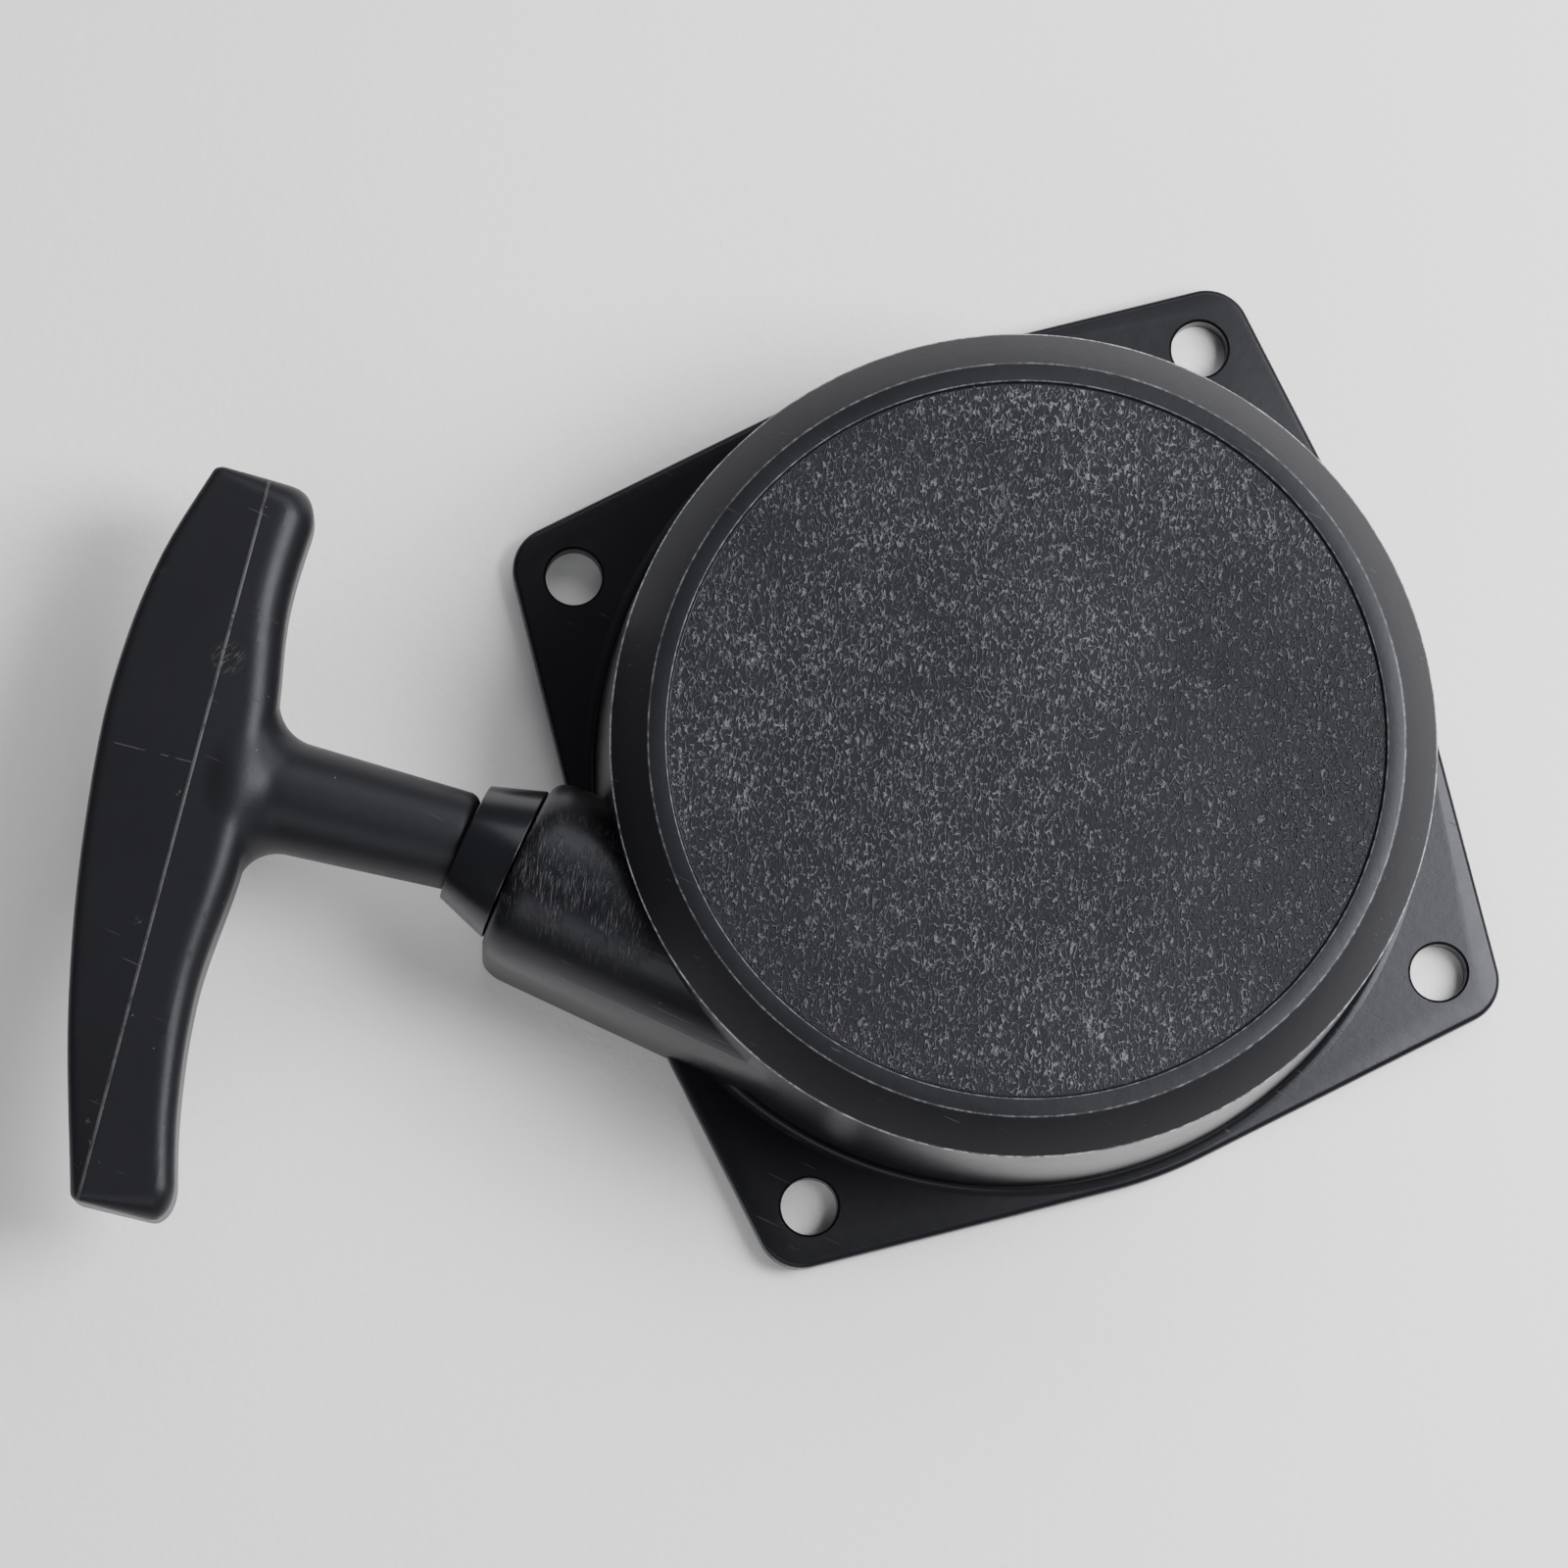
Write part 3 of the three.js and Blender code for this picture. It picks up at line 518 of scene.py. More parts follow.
def effect_group(name, inputs, outputs):
    """A shader node group with named inputs and outputs: its builder, its inputs and its output sockets."""
    tree = bpy.data.node_groups.new(name, "ShaderNodeTree")
    for label, kind, value in inputs:
        socket = tree.interface.new_socket(label, in_out="INPUT", socket_type=kind)
        if value is not None:
            socket.default_value = value
    for label, kind in outputs:
        tree.interface.new_socket(label, in_out="OUTPUT", socket_type=kind)
    build = NodeTree(tree)
    return build, build.add("NodeGroupInput").outputs, build.add("NodeGroupOutput").inputs


NUMBER, COLOUR, VECTOR = "NodeSocketFloat", "NodeSocketColor", "NodeSocketVector"


def moulded_skin():
    """What any plastic moulding shows: cloudy gloss, a fine skin, dust specks and hair scratches."""
    build, given, out = effect_group("moulded skin", [
        ("Place", VECTOR, None), ("Base", COLOUR, (0.02, 0.02, 0.02, 1)), ("Roughness", NUMBER, 0.4),
        ("Cloud", NUMBER, 0.1), ("Dust", NUMBER, 0.5),
    ], [("Colour", COLOUR), ("Roughness", NUMBER), ("Height", NUMBER)])
    clouds = build.noise(given["Place"], 42, 4, 0.6)
    fine = build.noise(given["Place"], 2600, 2, 0.5)
    skin = build.noise(given["Place"], 700, 3, 0.55)
    stretched = build.feed(build.add("ShaderNodeMapping"), {
        "Vector": given["Place"], "Rotation": (0.35, 0.2, 1.05), "Scale": (90, 3200, 900)})
    hairs = build.remap(build.noise(stretched.outputs[0], 1, 1, 0.4), 0.71, 0.76)
    hair_places = build.remap(build.noise(given["Place"], 130, 2), 0.52, 0.62)
    hairs = build.math("MULTIPLY", hairs, hair_places)
    specks = build.add("ShaderNodeTexVoronoi", feature="F1")
    build.feed(specks, {"Vector": given["Place"], "Scale": 520, "Randomness": 1})
    near = build.remap(specks.outputs["Distance"], 0.02, 0.055, 1, 0)
    chosen = build.add("ShaderNodeSeparateColor")
    build.put(chosen.inputs[0], specks.outputs["Color"])
    chance = build.math("GREATER_THAN", chosen.outputs[0], 0.86)
    dust = build.math("MULTIPLY", build.math("MULTIPLY", near, chance), given["Dust"])
    colour = build.mix(build.math("MULTIPLY", clouds, 0.35), given["Base"], (0.012, 0.0118, 0.015, 1))
    colour = build.mix(build.math("MULTIPLY", dust, 0.8), colour, (0.24, 0.24, 0.26, 1))
    colour = build.mix(build.math("MULTIPLY", hairs, 0.12), colour, (0.2, 0.2, 0.21, 1))
    cloudy = build.math("SUBTRACT", clouds, 0.5)
    rough = build.math("MULTIPLY_ADD", cloudy, given["Cloud"], given["Roughness"])
    rough = build.math("MULTIPLY_ADD", hairs, 0.12, build.math("MULTIPLY_ADD", skin, 0.06, rough), clamp=True)
    height = build.math("MULTIPLY_ADD", fine, 0.006, build.math("MULTIPLY", skin, 0.012))
    height = build.math("SUBTRACT", height, build.math("MULTIPLY", hairs, 0.015))
    height = build.math("MULTIPLY_ADD", dust, 0.03, height)
    build.put(out["Colour"], colour)
    build.put(out["Roughness"], rough)
    build.put(out["Height"], height)
    return build.tree


def worm_grain():
    """The grain of an etched mould face: crowded short ridges, raised, that mostly run one way."""
    build, given, out = effect_group("worm grain", [
        ("Place", VECTOR, None), ("Pitch", NUMBER, 0.001), ("Direction", NUMBER, 0.0)], [("Height", NUMBER)])
    run = build.add("ShaderNodeCombineXYZ")
    build.put(run.inputs["Z"], given["Direction"])
    bent = build.add("ShaderNodeMapping", vector_type="TEXTURE")
    build.feed(bent, {"Vector": given["Place"], "Rotation": run.outputs[0], "Scale": (1.5, 0.82, 1)})
    scale = build.math("DIVIDE", 1.0, given["Pitch"])
    winding = build.noise(bent.outputs[0], scale, 1.3, 0.5, 0.5)
    off_crest = build.math("ABSOLUTE", build.math("SUBTRACT", winding, 0.5))
    worms = build.remap(off_crest, 0.008, 0.075, 1, 0)
    breaks = build.noise(given["Place"], build.math("MULTIPLY", scale, 1.1), 1, 0.5)
    build.put(out["Height"], build.math("MULTIPLY", worms, build.remap(breaks, 0.4, 0.52, 0.35, 1)))
    return build.tree


def worn_metal():
    """What small steel parts show: a fine brushed direction, stains and rubbed high spots."""
    build, given, out = effect_group("worn metal", [
        ("Place", VECTOR, None), ("Base", COLOUR, (0.5, 0.5, 0.5, 1)),
        ("Stain", COLOUR, (0.2, 0.18, 0.15, 1)), ("Roughness", NUMBER, 0.3), ("Stains", NUMBER, 0.4),
    ], [("Colour", COLOUR), ("Roughness", NUMBER), ("Height", NUMBER)])
    lines = build.feed(build.add("ShaderNodeMapping"), {"Vector": given["Place"], "Scale": (500, 5000, 900)})
    brushed = build.noise(lines.outputs[0], 1, 3, 0.6)
    patches = build.remap(build.noise(given["Place"], 190, 4, 0.65), 0.48, 0.72)
    pits = build.remap(build.noise(given["Place"], 2400, 2, 0.5), 0.62, 0.75)
    patches = build.math("MULTIPLY", patches, given["Stains"])
    colour = build.mix(patches, given["Base"], given["Stain"])
    colour = build.mix(build.math("MULTIPLY", brushed, 0.25), colour, (0.75, 0.75, 0.77, 1))
    rough = build.math("MULTIPLY_ADD", patches, 0.25, given["Roughness"])
    rough = build.math("MULTIPLY_ADD", build.math("SUBTRACT", brushed, 0.5), 0.2, rough, clamp=True)
    height = build.math("MULTIPLY_ADD", pits, -0.02, build.math("MULTIPLY", brushed, 0.01))
    build.put(out["Colour"], colour)
    build.put(out["Roughness"], rough)
    build.put(out["Height"], height)
    return build.tree


def braid():
    """A round braid of two sets of yarns, from turns round the rope and millimetres along it."""
    build, given, out = effect_group("braid", [
        ("Along", VECTOR, None), ("Yarns", NUMBER, 8.0), ("Lay", NUMBER, 14.0)],
        [("Height", NUMBER), ("Yarn", NUMBER), ("Gap shade", NUMBER)])
    part = build.add("ShaderNodeSeparateXYZ")
    build.put(part.inputs[0], given["Along"])
    round_it = build.math("MULTIPLY", part.outputs["X"], given["Yarns"])
    along = build.math("MULTIPLY", build.math("DIVIDE", part.outputs["Y"], given["Lay"]), given["Yarns"])
    weaves = []
    for sign in (1.0, -1.0):
        phase = build.math("MULTIPLY_ADD", along, sign, round_it)
        across = build.math("SUBTRACT", build.math("FRACT", phase), 0.5)
        hump = build.math("SQRT", build.math("SUBTRACT", 1.0, build.math("POWER", build.math(
            "MULTIPLY", build.math("ABSOLUTE", across), 2.0), 2.0), clamp=True))
        weaves.append((phase, hump))
    both = build.math("ADD", weaves[0][0], weaves[1][0])
    crossing = build.math("SINE", build.math("MULTIPLY", both, math.pi))
    over = build.remap(crossing, -0.3, 0.3)
    height = build.math("ADD", build.math("MULTIPLY", weaves[0][1], over),
                        build.math("MULTIPLY", weaves[1][1], build.math("SUBTRACT", 1.0, over)))
    build.put(out["Height"], height)
    build.put(out["Yarn"], build.math("FLOOR", weaves[0][0]))
    # Painted shade: where the yarns dip low between each other.
    build.put(out["Gap shade"], build.remap(height, 0.15, 0.6, 1, 0))
    return build.tree


# ---------- materials ----------

class Finish(NodeTree):
    """A material whose Principled shader gets its varying values from shared effects."""

    def __init__(self, name, **constants):
        self.material = bpy.data.materials.new(name)
        self.material.use_nodes = True
        super().__init__(self.material.node_tree)
        self.shader = self.tree.nodes["Principled BSDF"]
        for key, value in constants.items():
            self.shader.inputs[key.replace("_", " ")].default_value = value
        self.place = self.add("ShaderNodeTexCoord").outputs["Object"]

    def effect(self, tree, **values):
        node = self.add("ShaderNodeGroup", node_tree=tree)
        self.feed(node, {key.replace("_", " "): value for key, value in values.items()})
        return node.outputs

    def relief(self, height, distance, normal=None, strength=1.0):
        node = self.add("ShaderNodeBump")
        self.feed(node, {"Strength": strength, "Distance": distance, "Height": height})
        if normal is not None:
            self.put(node.inputs["Normal"], normal)
        return node.outputs[0]

    def show(self, colour, roughness, normal):
        self.put(self.shader.inputs["Base Color"], colour)
        self.put(self.shader.inputs["Roughness"], roughness)
        self.put(self.shader.inputs["Normal"], normal)
        return self.material


EFFECTS = {"skin": moulded_skin(), "grain": worm_grain(), "metal": worn_metal(), "braid": braid()}


PLASTIC_TINT = (0.91, 0.92, 1.0, 1.0)


def from_axis(finish):
    """A surface point's distance from the reel axis, and its x, y and z from it, in metres."""
    shifted = finish.vector("SUBTRACT", finish.place, (REEL_AXIS.x, REEL_AXIS.y, 0))
    parts = finish.add("ShaderNodeSeparateXYZ")
    finish.put(parts.inputs[0], shifted)
    flat = finish.vector("MULTIPLY", shifted, (1, 1, 0))
    return finish.vector("LENGTH", flat), parts.outputs, shifted


def band(finish, value, middle, half, soft):
    """1 within half a width of the middle, falling to 0 over a soft edge, all in millimetres."""
    off = finish.math("ABSOLUTE", finish.math("SUBTRACT", value, middle * MM))
    return finish.remap(off, half * MM, (half + soft) * MM, 1, 0)


def housing_finish():
    """Black moulded plastic: grained in the recessed face with painted highlights on its ridge tops, scuffed
    on the outlet, and rubbed at its edges, with painted highlight lines along them.
    """
    finish = Finish("housing_plastic", Specular_IOR_Level=0.25, IOR=1.5, Specular_Tint=PLASTIC_TINT)
    radius, xyz, shifted = from_axis(finish)
    skin = finish.effect(EFFECTS["skin"], Place=finish.place, Base=(0.004, 0.004, 0.005, 1), Roughness=0.29,
                         Cloud=0.16, Dust=0.6)
    on_top = finish.remap(xyz["Z"], (CAN_TOP - 0.9) * MM, (CAN_TOP - 0.8) * MM)
    inside = finish.remap(radius, (CAN_RECESS - 0.45) * MM, (CAN_RECESS - 0.3) * MM, 1, 0)
    badge = finish.math("MULTIPLY", on_top, inside)
    grain = finish.effect(EFFECTS["grain"], Place=finish.place, Pitch=0.00072, Direction=math.radians(109))
    grain_height = finish.math("MULTIPLY", grain["Height"], badge)

    smears = finish.remap(finish.noise(finish.place, 22, 4, 0.62), 0.32, 0.68)
    valleys = finish.mix(smears, (0.004, 0.004, 0.005, 1), (0.009, 0.009, 0.0112, 1))
    # Painted highlight: the grain's ridge tops are coloured lighter than its valleys.
    ridge_tops_painted_highlight = finish.mix(smears, (0.055, 0.055, 0.062, 1), (0.13, 0.13, 0.146, 1))
    grain_and_painted_highlight = finish.mix(finish.math("MULTIPLY", grain_height, 0.8), valleys, ridge_tops_painted_highlight)
    colour = finish.mix(badge, skin["Colour"], grain_and_painted_highlight)
    rough = finish.math("MULTIPLY_ADD", finish.math("MULTIPLY", badge, smears), -0.08, skin["Roughness"])
    rough = finish.math("MULTIPLY_ADD", badge, 0.03, rough)

    # Scuffs where the outlet rubbed in its box, and the rub line along the cover's outer edge, brightened into
    # a painted highlight line, with fainter painted highlight lines on the inner edges.
    along_outlet_top = finish.remap(xyz["X"], -0.026, -0.034)
    at_outlet = finish.math("MULTIPLY", along_outlet_top, finish.remap(xyz["Z"], 0.0255, 0.0305))
    outlet_y = band(finish, xyz["Y"], NOSE_Y, 5.0, 3.5)
    strokes = finish.feed(finish.add("ShaderNodeMapping", vector_type="TEXTURE"), {
        "Vector": shifted, "Rotation": (0, 0, math.radians(106)), "Scale": (0.0015, 0.00012, 0.05)})
    strokes = finish.remap(finish.noise(strokes.outputs[0], 1, 2, 0.6, 0.3), 0.52, 0.64)
    patchy = finish.remap(finish.noise(finish.place, 260, 3, 0.6), 0.38, 0.56)
    scuffs = finish.math("MULTIPLY", finish.math("MULTIPLY", at_outlet, outlet_y), strokes)
    scuffs = finish.math("MULTIPLY", scuffs, patchy)
    off_cover = finish.remap(radius, (CAN_EDGE + 0.1) * MM, (CAN_EDGE + 0.6) * MM)
    scuffs = finish.math("MULTIPLY", scuffs, off_cover)
    # Painted highlight lines: bright on the outer edge, fainter on the inner edges, broken by nicks.
    outer_edge_highlight = finish.math("MULTIPLY", band(finish, radius, CAN_EDGE, 0.08, 0.14),
                             band(finish, xyz["Z"], CAN_EDGE_HEIGHT, 0.12, 0.2))
    inner_edge_highlights = finish.math("MAXIMUM", band(finish, radius, CAN_CREASE, 0.04, 0.12),
                              band(finish, radius, CAN_RECESS, 0.03, 0.1))
    near_top = finish.remap(xyz["Z"], (CAN_TOP - 0.2) * MM, (CAN_TOP - 0.1) * MM)
    inner_edge_highlights = finish.math("MULTIPLY", inner_edge_highlights, near_top)
    edge_highlights = finish.math("MAXIMUM", outer_edge_highlight, finish.math("MULTIPLY", inner_edge_highlights, 0.3))
    nicks = finish.remap(finish.noise(finish.place, 900, 3, 0.7), 0.4, 0.65, 0.25, 1)
    edge_highlights = finish.math("MULTIPLY", edge_highlights, nicks)
    # Real scuffs and the painted edge highlights lighten the colour together.
    scuffs_and_edge_highlights = finish.math("MAXIMUM", finish.math("MULTIPLY", scuffs, 0.1), finish.math("MULTIPLY", edge_highlights, 0.9))
    colour = finish.mix(scuffs_and_edge_highlights, colour, (0.42, 0.42, 0.46, 1))
    rough = finish.math("MULTIPLY_ADD", finish.math("MAXIMUM", scuffs, edge_highlights), 0.16, rough, clamp=True)

    normal = finish.relief(skin["Height"], 0.0011)
    normal = finish.relief(scuffs, 0.00008, normal)
    normal = finish.relief(grain_height, 0.0002, normal)
    return finish.show(colour, rough, normal)


def bush_finish():
    """The harder, glossier plastic of the bush."""
    finish = Finish("bush_plastic", Specular_IOR_Level=0.38, IOR=1.5, Specular_Tint=PLASTIC_TINT)
    skin = finish.effect(EFFECTS["skin"], Place=finish.place, Base=(0.0045, 0.0045, 0.0056, 1),
                         Roughness=0.22, Cloud=0.12, Dust=0.3)
    normal = finish.relief(skin["Height"], 0.0006)
    return finish.show(skin["Colour"], skin["Roughness"], normal)


def handle_finish():
    """The grip's matt plastic, with its parting flash, a witness line of the mould and small nicks."""
    finish = Finish("handle_plastic", Specular_IOR_Level=0.2, IOR=1.5, Specular_Tint=PLASTIC_TINT)
    skin = finish.effect(EFFECTS["skin"], Place=finish.place, Base=(0.008, 0.008, 0.0094, 1), Roughness=0.38,
                         Cloud=0.1, Dust=0.8)
    from_parting = finish.vector("SUBTRACT", finish.place, tuple(grip_to_frame(PARTING_U, 0)))
    along = finish.vector("DOT_PRODUCT", from_parting, tuple(PULL))
    line = finish.remap(finish.math("ABSOLUTE", along), 0.00008, 0.0003, 1, 0)
    broken = finish.remap(finish.noise(finish.place, 330, 3, 0.6), 0.3, 0.6, 0.35, 1)
    flash = finish.math("MULTIPLY", line, broken)
    nicks = finish.remap(finish.noise(finish.place, 520, 4, 0.75), 0.66, 0.72)
    near = finish.remap(finish.math("ABSOLUTE", along), 0.0003, 0.0024, 1, 0)
    nicks = finish.math("MULTIPLY", nicks, near)
    from_witness = finish.vector("SUBTRACT", finish.place, tuple(grip_to_frame(PARTING_U, 0.4)))
    across = finish.vector("DOT_PRODUCT", from_witness, (-PULL.y, PULL.x, 0))
    witness = finish.remap(finish.math("ABSOLUTE", across), 0.00004, 0.00014, 1, 0)
    witness = finish.math("MULTIPLY", witness, finish.remap(along, 0.0, 0.0002))
    witness = finish.math("MULTIPLY", witness, finish.remap(finish.noise(finish.place, 450, 2), 0.42, 0.52))
    flash = finish.math("MAXIMUM", flash, finish.math("MULTIPLY", witness, 0.9))
    bruise = finish.vector("DISTANCE", finish.place, tuple(grip_to_frame(32.3, 13.6, 7)))
    scrapes = finish.feed(finish.add("ShaderNodeMapping", vector_type="TEXTURE"), {
        "Vector": finish.place, "Rotation": (0, 0, 1.1), "Scale": (0.0011, 0.0002, 0.001)})
    scrapes = finish.remap(finish.noise(scrapes.outputs[0], 1, 3, 0.6), 0.5, 0.58)
    in_bruise = finish.remap(bruise, 0.001, 0.0024, 1, 0)
    nicks = finish.math("MAXIMUM", nicks, finish.math("MULTIPLY", scrapes, in_bruise))
    colour = finish.mix(finish.math("MULTIPLY", flash, 0.22), skin["Colour"], (0.16, 0.16, 0.17, 1))
    colour = finish.mix(finish.math("MULTIPLY", nicks, 0.16), colour, (0.2, 0.2, 0.2, 1))
    height = finish.math("SUBTRACT", flash, finish.math("MULTIPLY", nicks, 0.7))
    normal = finish.relief(skin["Height"], 0.0012)
    normal = finish.relief(height, 0.00009, normal)
    return finish.show(colour, skin["Roughness"], normal)


def reel_finish():
    """Natural nylon, grimy in patches and rubbed grey at the rim."""
    finish = Finish("reel_nylon", Specular_IOR_Level=0.45, IOR=1.53)
    radius = from_axis(finish)[0]
    skin = finish.effect(EFFECTS["skin"], Place=finish.place, Base=(0.6, 0.57, 0.49, 1), Roughness=0.42,
                         Cloud=0.14, Dust=0.0)
    dirt = finish.remap(finish.noise(finish.place, 75, 5, 0.65), 0.45, 0.75)
    rubbed = band(finish, radius, 41.8, 0.7, 1.5)
    grime = finish.math("MAXIMUM", finish.math("MULTIPLY", dirt, 0.3), finish.math("MULTIPLY", rubbed, 0.35))
    colour = finish.mix(grime, skin["Colour"], (0.2, 0.18, 0.15, 1))
    normal = finish.relief(skin["Height"], 0.001)
    return finish.show(colour, skin["Roughness"], normal)


def metal_finish(name, base, stain, roughness, stains):
    """A brushed metal with stains and pits."""
    finish = Finish(name, Metallic=1.0)
    metal = finish.effect(EFFECTS["metal"], Place=finish.place, Base=base, Stain=stain, Roughness=roughness,
                          Stains=stains)
    normal = finish.relief(metal["Height"], 0.0006)
    return finish.show(metal["Colour"], metal["Roughness"], normal)


def rope_finish():
    """A black braid with one lighter fleck yarn in four, and painted shade in the gaps between yarns."""
    finish = Finish("rope", Specular_IOR_Level=0.3, Sheen_Weight=0.35, Sheen_Roughness=0.5)
    finish.shader.inputs["Sheen Tint"].default_value = (0.5, 0.5, 0.55, 1)
    along = finish.add("ShaderNodeUVMap", uv_map="along").outputs[0]
    weave = finish.effect(EFFECTS["braid"], Along=along, Yarns=8.0, Lay=14.0)
    fibres = finish.noise(finish.vector("MULTIPLY", along, (160.0, 5.0, 1.0)), 1, 2, 0.6)
    every_fourth = finish.math("FRACT", finish.math("MULTIPLY", weave["Yarn"], 0.2501))
    fleck = finish.math("GREATER_THAN", every_fourth, 0.74)
    colour = finish.mix(fibres, (0.011, 0.011, 0.013, 1), (0.03, 0.03, 0.034, 1))
    colour = finish.mix(finish.math("MULTIPLY", fleck, 0.85), colour, (0.3, 0.3, 0.31, 1))
    # Painted shade: the gaps between yarns are darkened.
    colour = finish.mix(finish.math("MULTIPLY", weave["Gap shade"], 0.8), colour, (0.004, 0.004, 0.004, 1))
    rough = finish.math("MULTIPLY_ADD", fibres, 0.2, 0.62, clamp=True)
    normal = finish.relief(fibres, 0.00006)
    normal = finish.relief(weave["Height"], 0.00035, normal)
    return finish.show(colour, rough, normal)


# ---------- camera, light and floor ----------

def set_camera():
    """Looks down on the cover from about 0.9 m, a little from the front, with the picture turned."""
    azimuth = math.radians(5.71)
    elevation = math.radians(82.82)
    roll = math.radians(18.91)
    distance = 0.8996
    aim = Vector((REEL_AXIS.x - 0.02418, REEL_AXIS.y - 0.01194, 0))
    back = Vector((math.sin(azimuth) * math.cos(elevation), -math.cos(azimuth) * math.cos(elevation),
                   math.sin(elevation)))
    lens = bpy.data.cameras.new("camera")
    lens.lens, lens.sensor_width = 168.75, 36
    camera = new_object("camera", lens)
    camera.rotation_mode = "QUATERNION"
    turned_picture = Matrix.Rotation(roll, 3, "Z").to_quaternion()
    camera.rotation_quaternion = (-back).to_track_quat("-Z", "Y") @ turned_picture
    camera.location = aim + back * distance
    bpy.context.scene.camera = camera
    return camera


def soft_light(name, place, size, power):
    """A soft box placed from the reel axis, turned to face it."""
    lamp = bpy.data.lights.new(name, "AREA")
    lamp.shape = "RECTANGLE"
    lamp.size, lamp.size_y = size
    lamp.energy = power
    light = new_object(name, lamp)
    axis = Vector((REEL_AXIS.x, REEL_AXIS.y, 0))
    light.location = axis + Vector(place)
    light.rotation_mode = "QUATERNION"
    light.rotation_quaternion = (axis + Vector((0, 0, 0.02)) - light.location).to_track_quat("-Z", "Y")
    light.visible_camera = False


def set_studio():
    """Soft boxes over a pale paper floor, in a dim grey room."""
    world = bpy.data.worlds.new("studio")
    world.use_nodes = True
    world.node_tree.nodes["Background"].inputs["Color"].default_value = (0.95, 0.96, 1, 1)
    world.node_tree.nodes["Background"].inputs["Strength"].default_value = 0.2
    bpy.context.scene.world = world
    soft_light("key", (0.22, 0.12, 0.40), (0.2, 0.3), 4.0)
    soft_light("key_side", (0.28, 0.30, 0.42), (0.35, 0.35), 0.8)
    soft_light("back", (0.05, 0.55, 0.50), (0.5, 0.4), 2.0)
    soft_light("back_left", (-0.35, 0.45, 0.60), (0.4, 0.4), 1.1)
    soft_light("front", (0.0, -0.5, 0.45), (0.6, 0.3), 1.3)

    paper = Finish("floor_paper", Specular_IOR_Level=0.2)
    grain = paper.noise(paper.place, 900, 3, 0.6)
    colour = paper.mix(grain, (0.86, 0.86, 0.865, 1), (0.9, 0.9, 0.9, 1))
    paper.show(colour, paper.remap(grain, 0, 1, 0.7, 0.85), paper.relief(grain, 0.0001))
    reach = 3.0
    floor = solid("floor", [(-reach, -reach, 0), (reach, -reach, 0), (reach, reach, 0), (-reach, reach, 0)],
                  [[0, 1, 2, 3]])
    floor.data.transform(Matrix.Translation((0, 0, -0.0004)))
    floor.data.materials.append(paper.material)


# ---------- housing and bush ----------

def flange_outline(inset):
    """Four corner lobes joined to the round body by their common tangents."""
    reach = math.degrees(math.acos((FLANGE_BODY - FLANGE_LOBE) / FLANGE_LOBE_AT))
    outline = []
    for corner in range(4):
        turn = 90 * corner
        outline += arc(polar(FLANGE_LOBE_AT, turn), FLANGE_LOBE - inset, turn - reach, turn + reach, 20)
        outline += arc((0, 0), FLANGE_BODY - inset, turn + reach, turn + 90 - reach, 8)
    return outline


def flange():
    """The square mounting flange, with its edges rounded more above than below."""
    top_edge = 0.7
    bottom_edge = 0.35
    levels = [(bottom_edge * (1 - math.sin(a)), bottom_edge * (1 - math.cos(a)))
              for a in np.linspace(0, math.pi / 2, 4)]
    levels += [(top_edge * (1 - math.cos(a)), FLANGE_THICKNESS - top_edge * (1 - math.sin(a)))
               for a in np.linspace(0, math.pi / 2, 6)]
    return lofted("flange", [[(x, y, z) for x, y in flange_outline(inset)] for inset, z in levels])


def outlet_boss():
    """An arched boss with straight sides down to the engine face and a rounded-in end."""
    slope = 3.4
    inset = 1.9
    widening = 0.3
    sections = []
    quarter = np.linspace(0, math.pi / 2, 9)
    stations = [(slope * (1 - math.cos(a)), inset * (1 - math.sin(a))) for a in quarter]
    stations = [(0.0, inset + 0.25)] + [(x + 0.05, i) for x, i in stations]
    stations.append((NOSE_ROOT - NOSE_END, -widening))
    for from_end, drawn_in in stations:
        radius = NOSE_RADIUS - drawn_in
        arch = arc((NOSE_Y, ROPE_HEIGHT), radius, 0, 180, 40)
        line = [(NOSE_Y - radius, -2), (NOSE_Y + radius, -2)]
        sections.append([(NOSE_END + from_end, y, z) for y, z in line + arch])
    boss = lofted("outlet_boss", sections)
    return cut(boss, box("engine_side", (80, 80, 10), (NOSE_END + 20, NOSE_Y, -5)))


def along_outlet(thing):
    """Lays a shape turned about z along the outlet, with its z = 0 on the end face and +z inwards."""
    mouth = Matrix.Translation((NOSE_END, NOSE_Y, ROPE_HEIGHT))
    thing.data.transform(mouth @ Matrix.Rotation(math.pi / 2, 4, "Y"))
    return thing


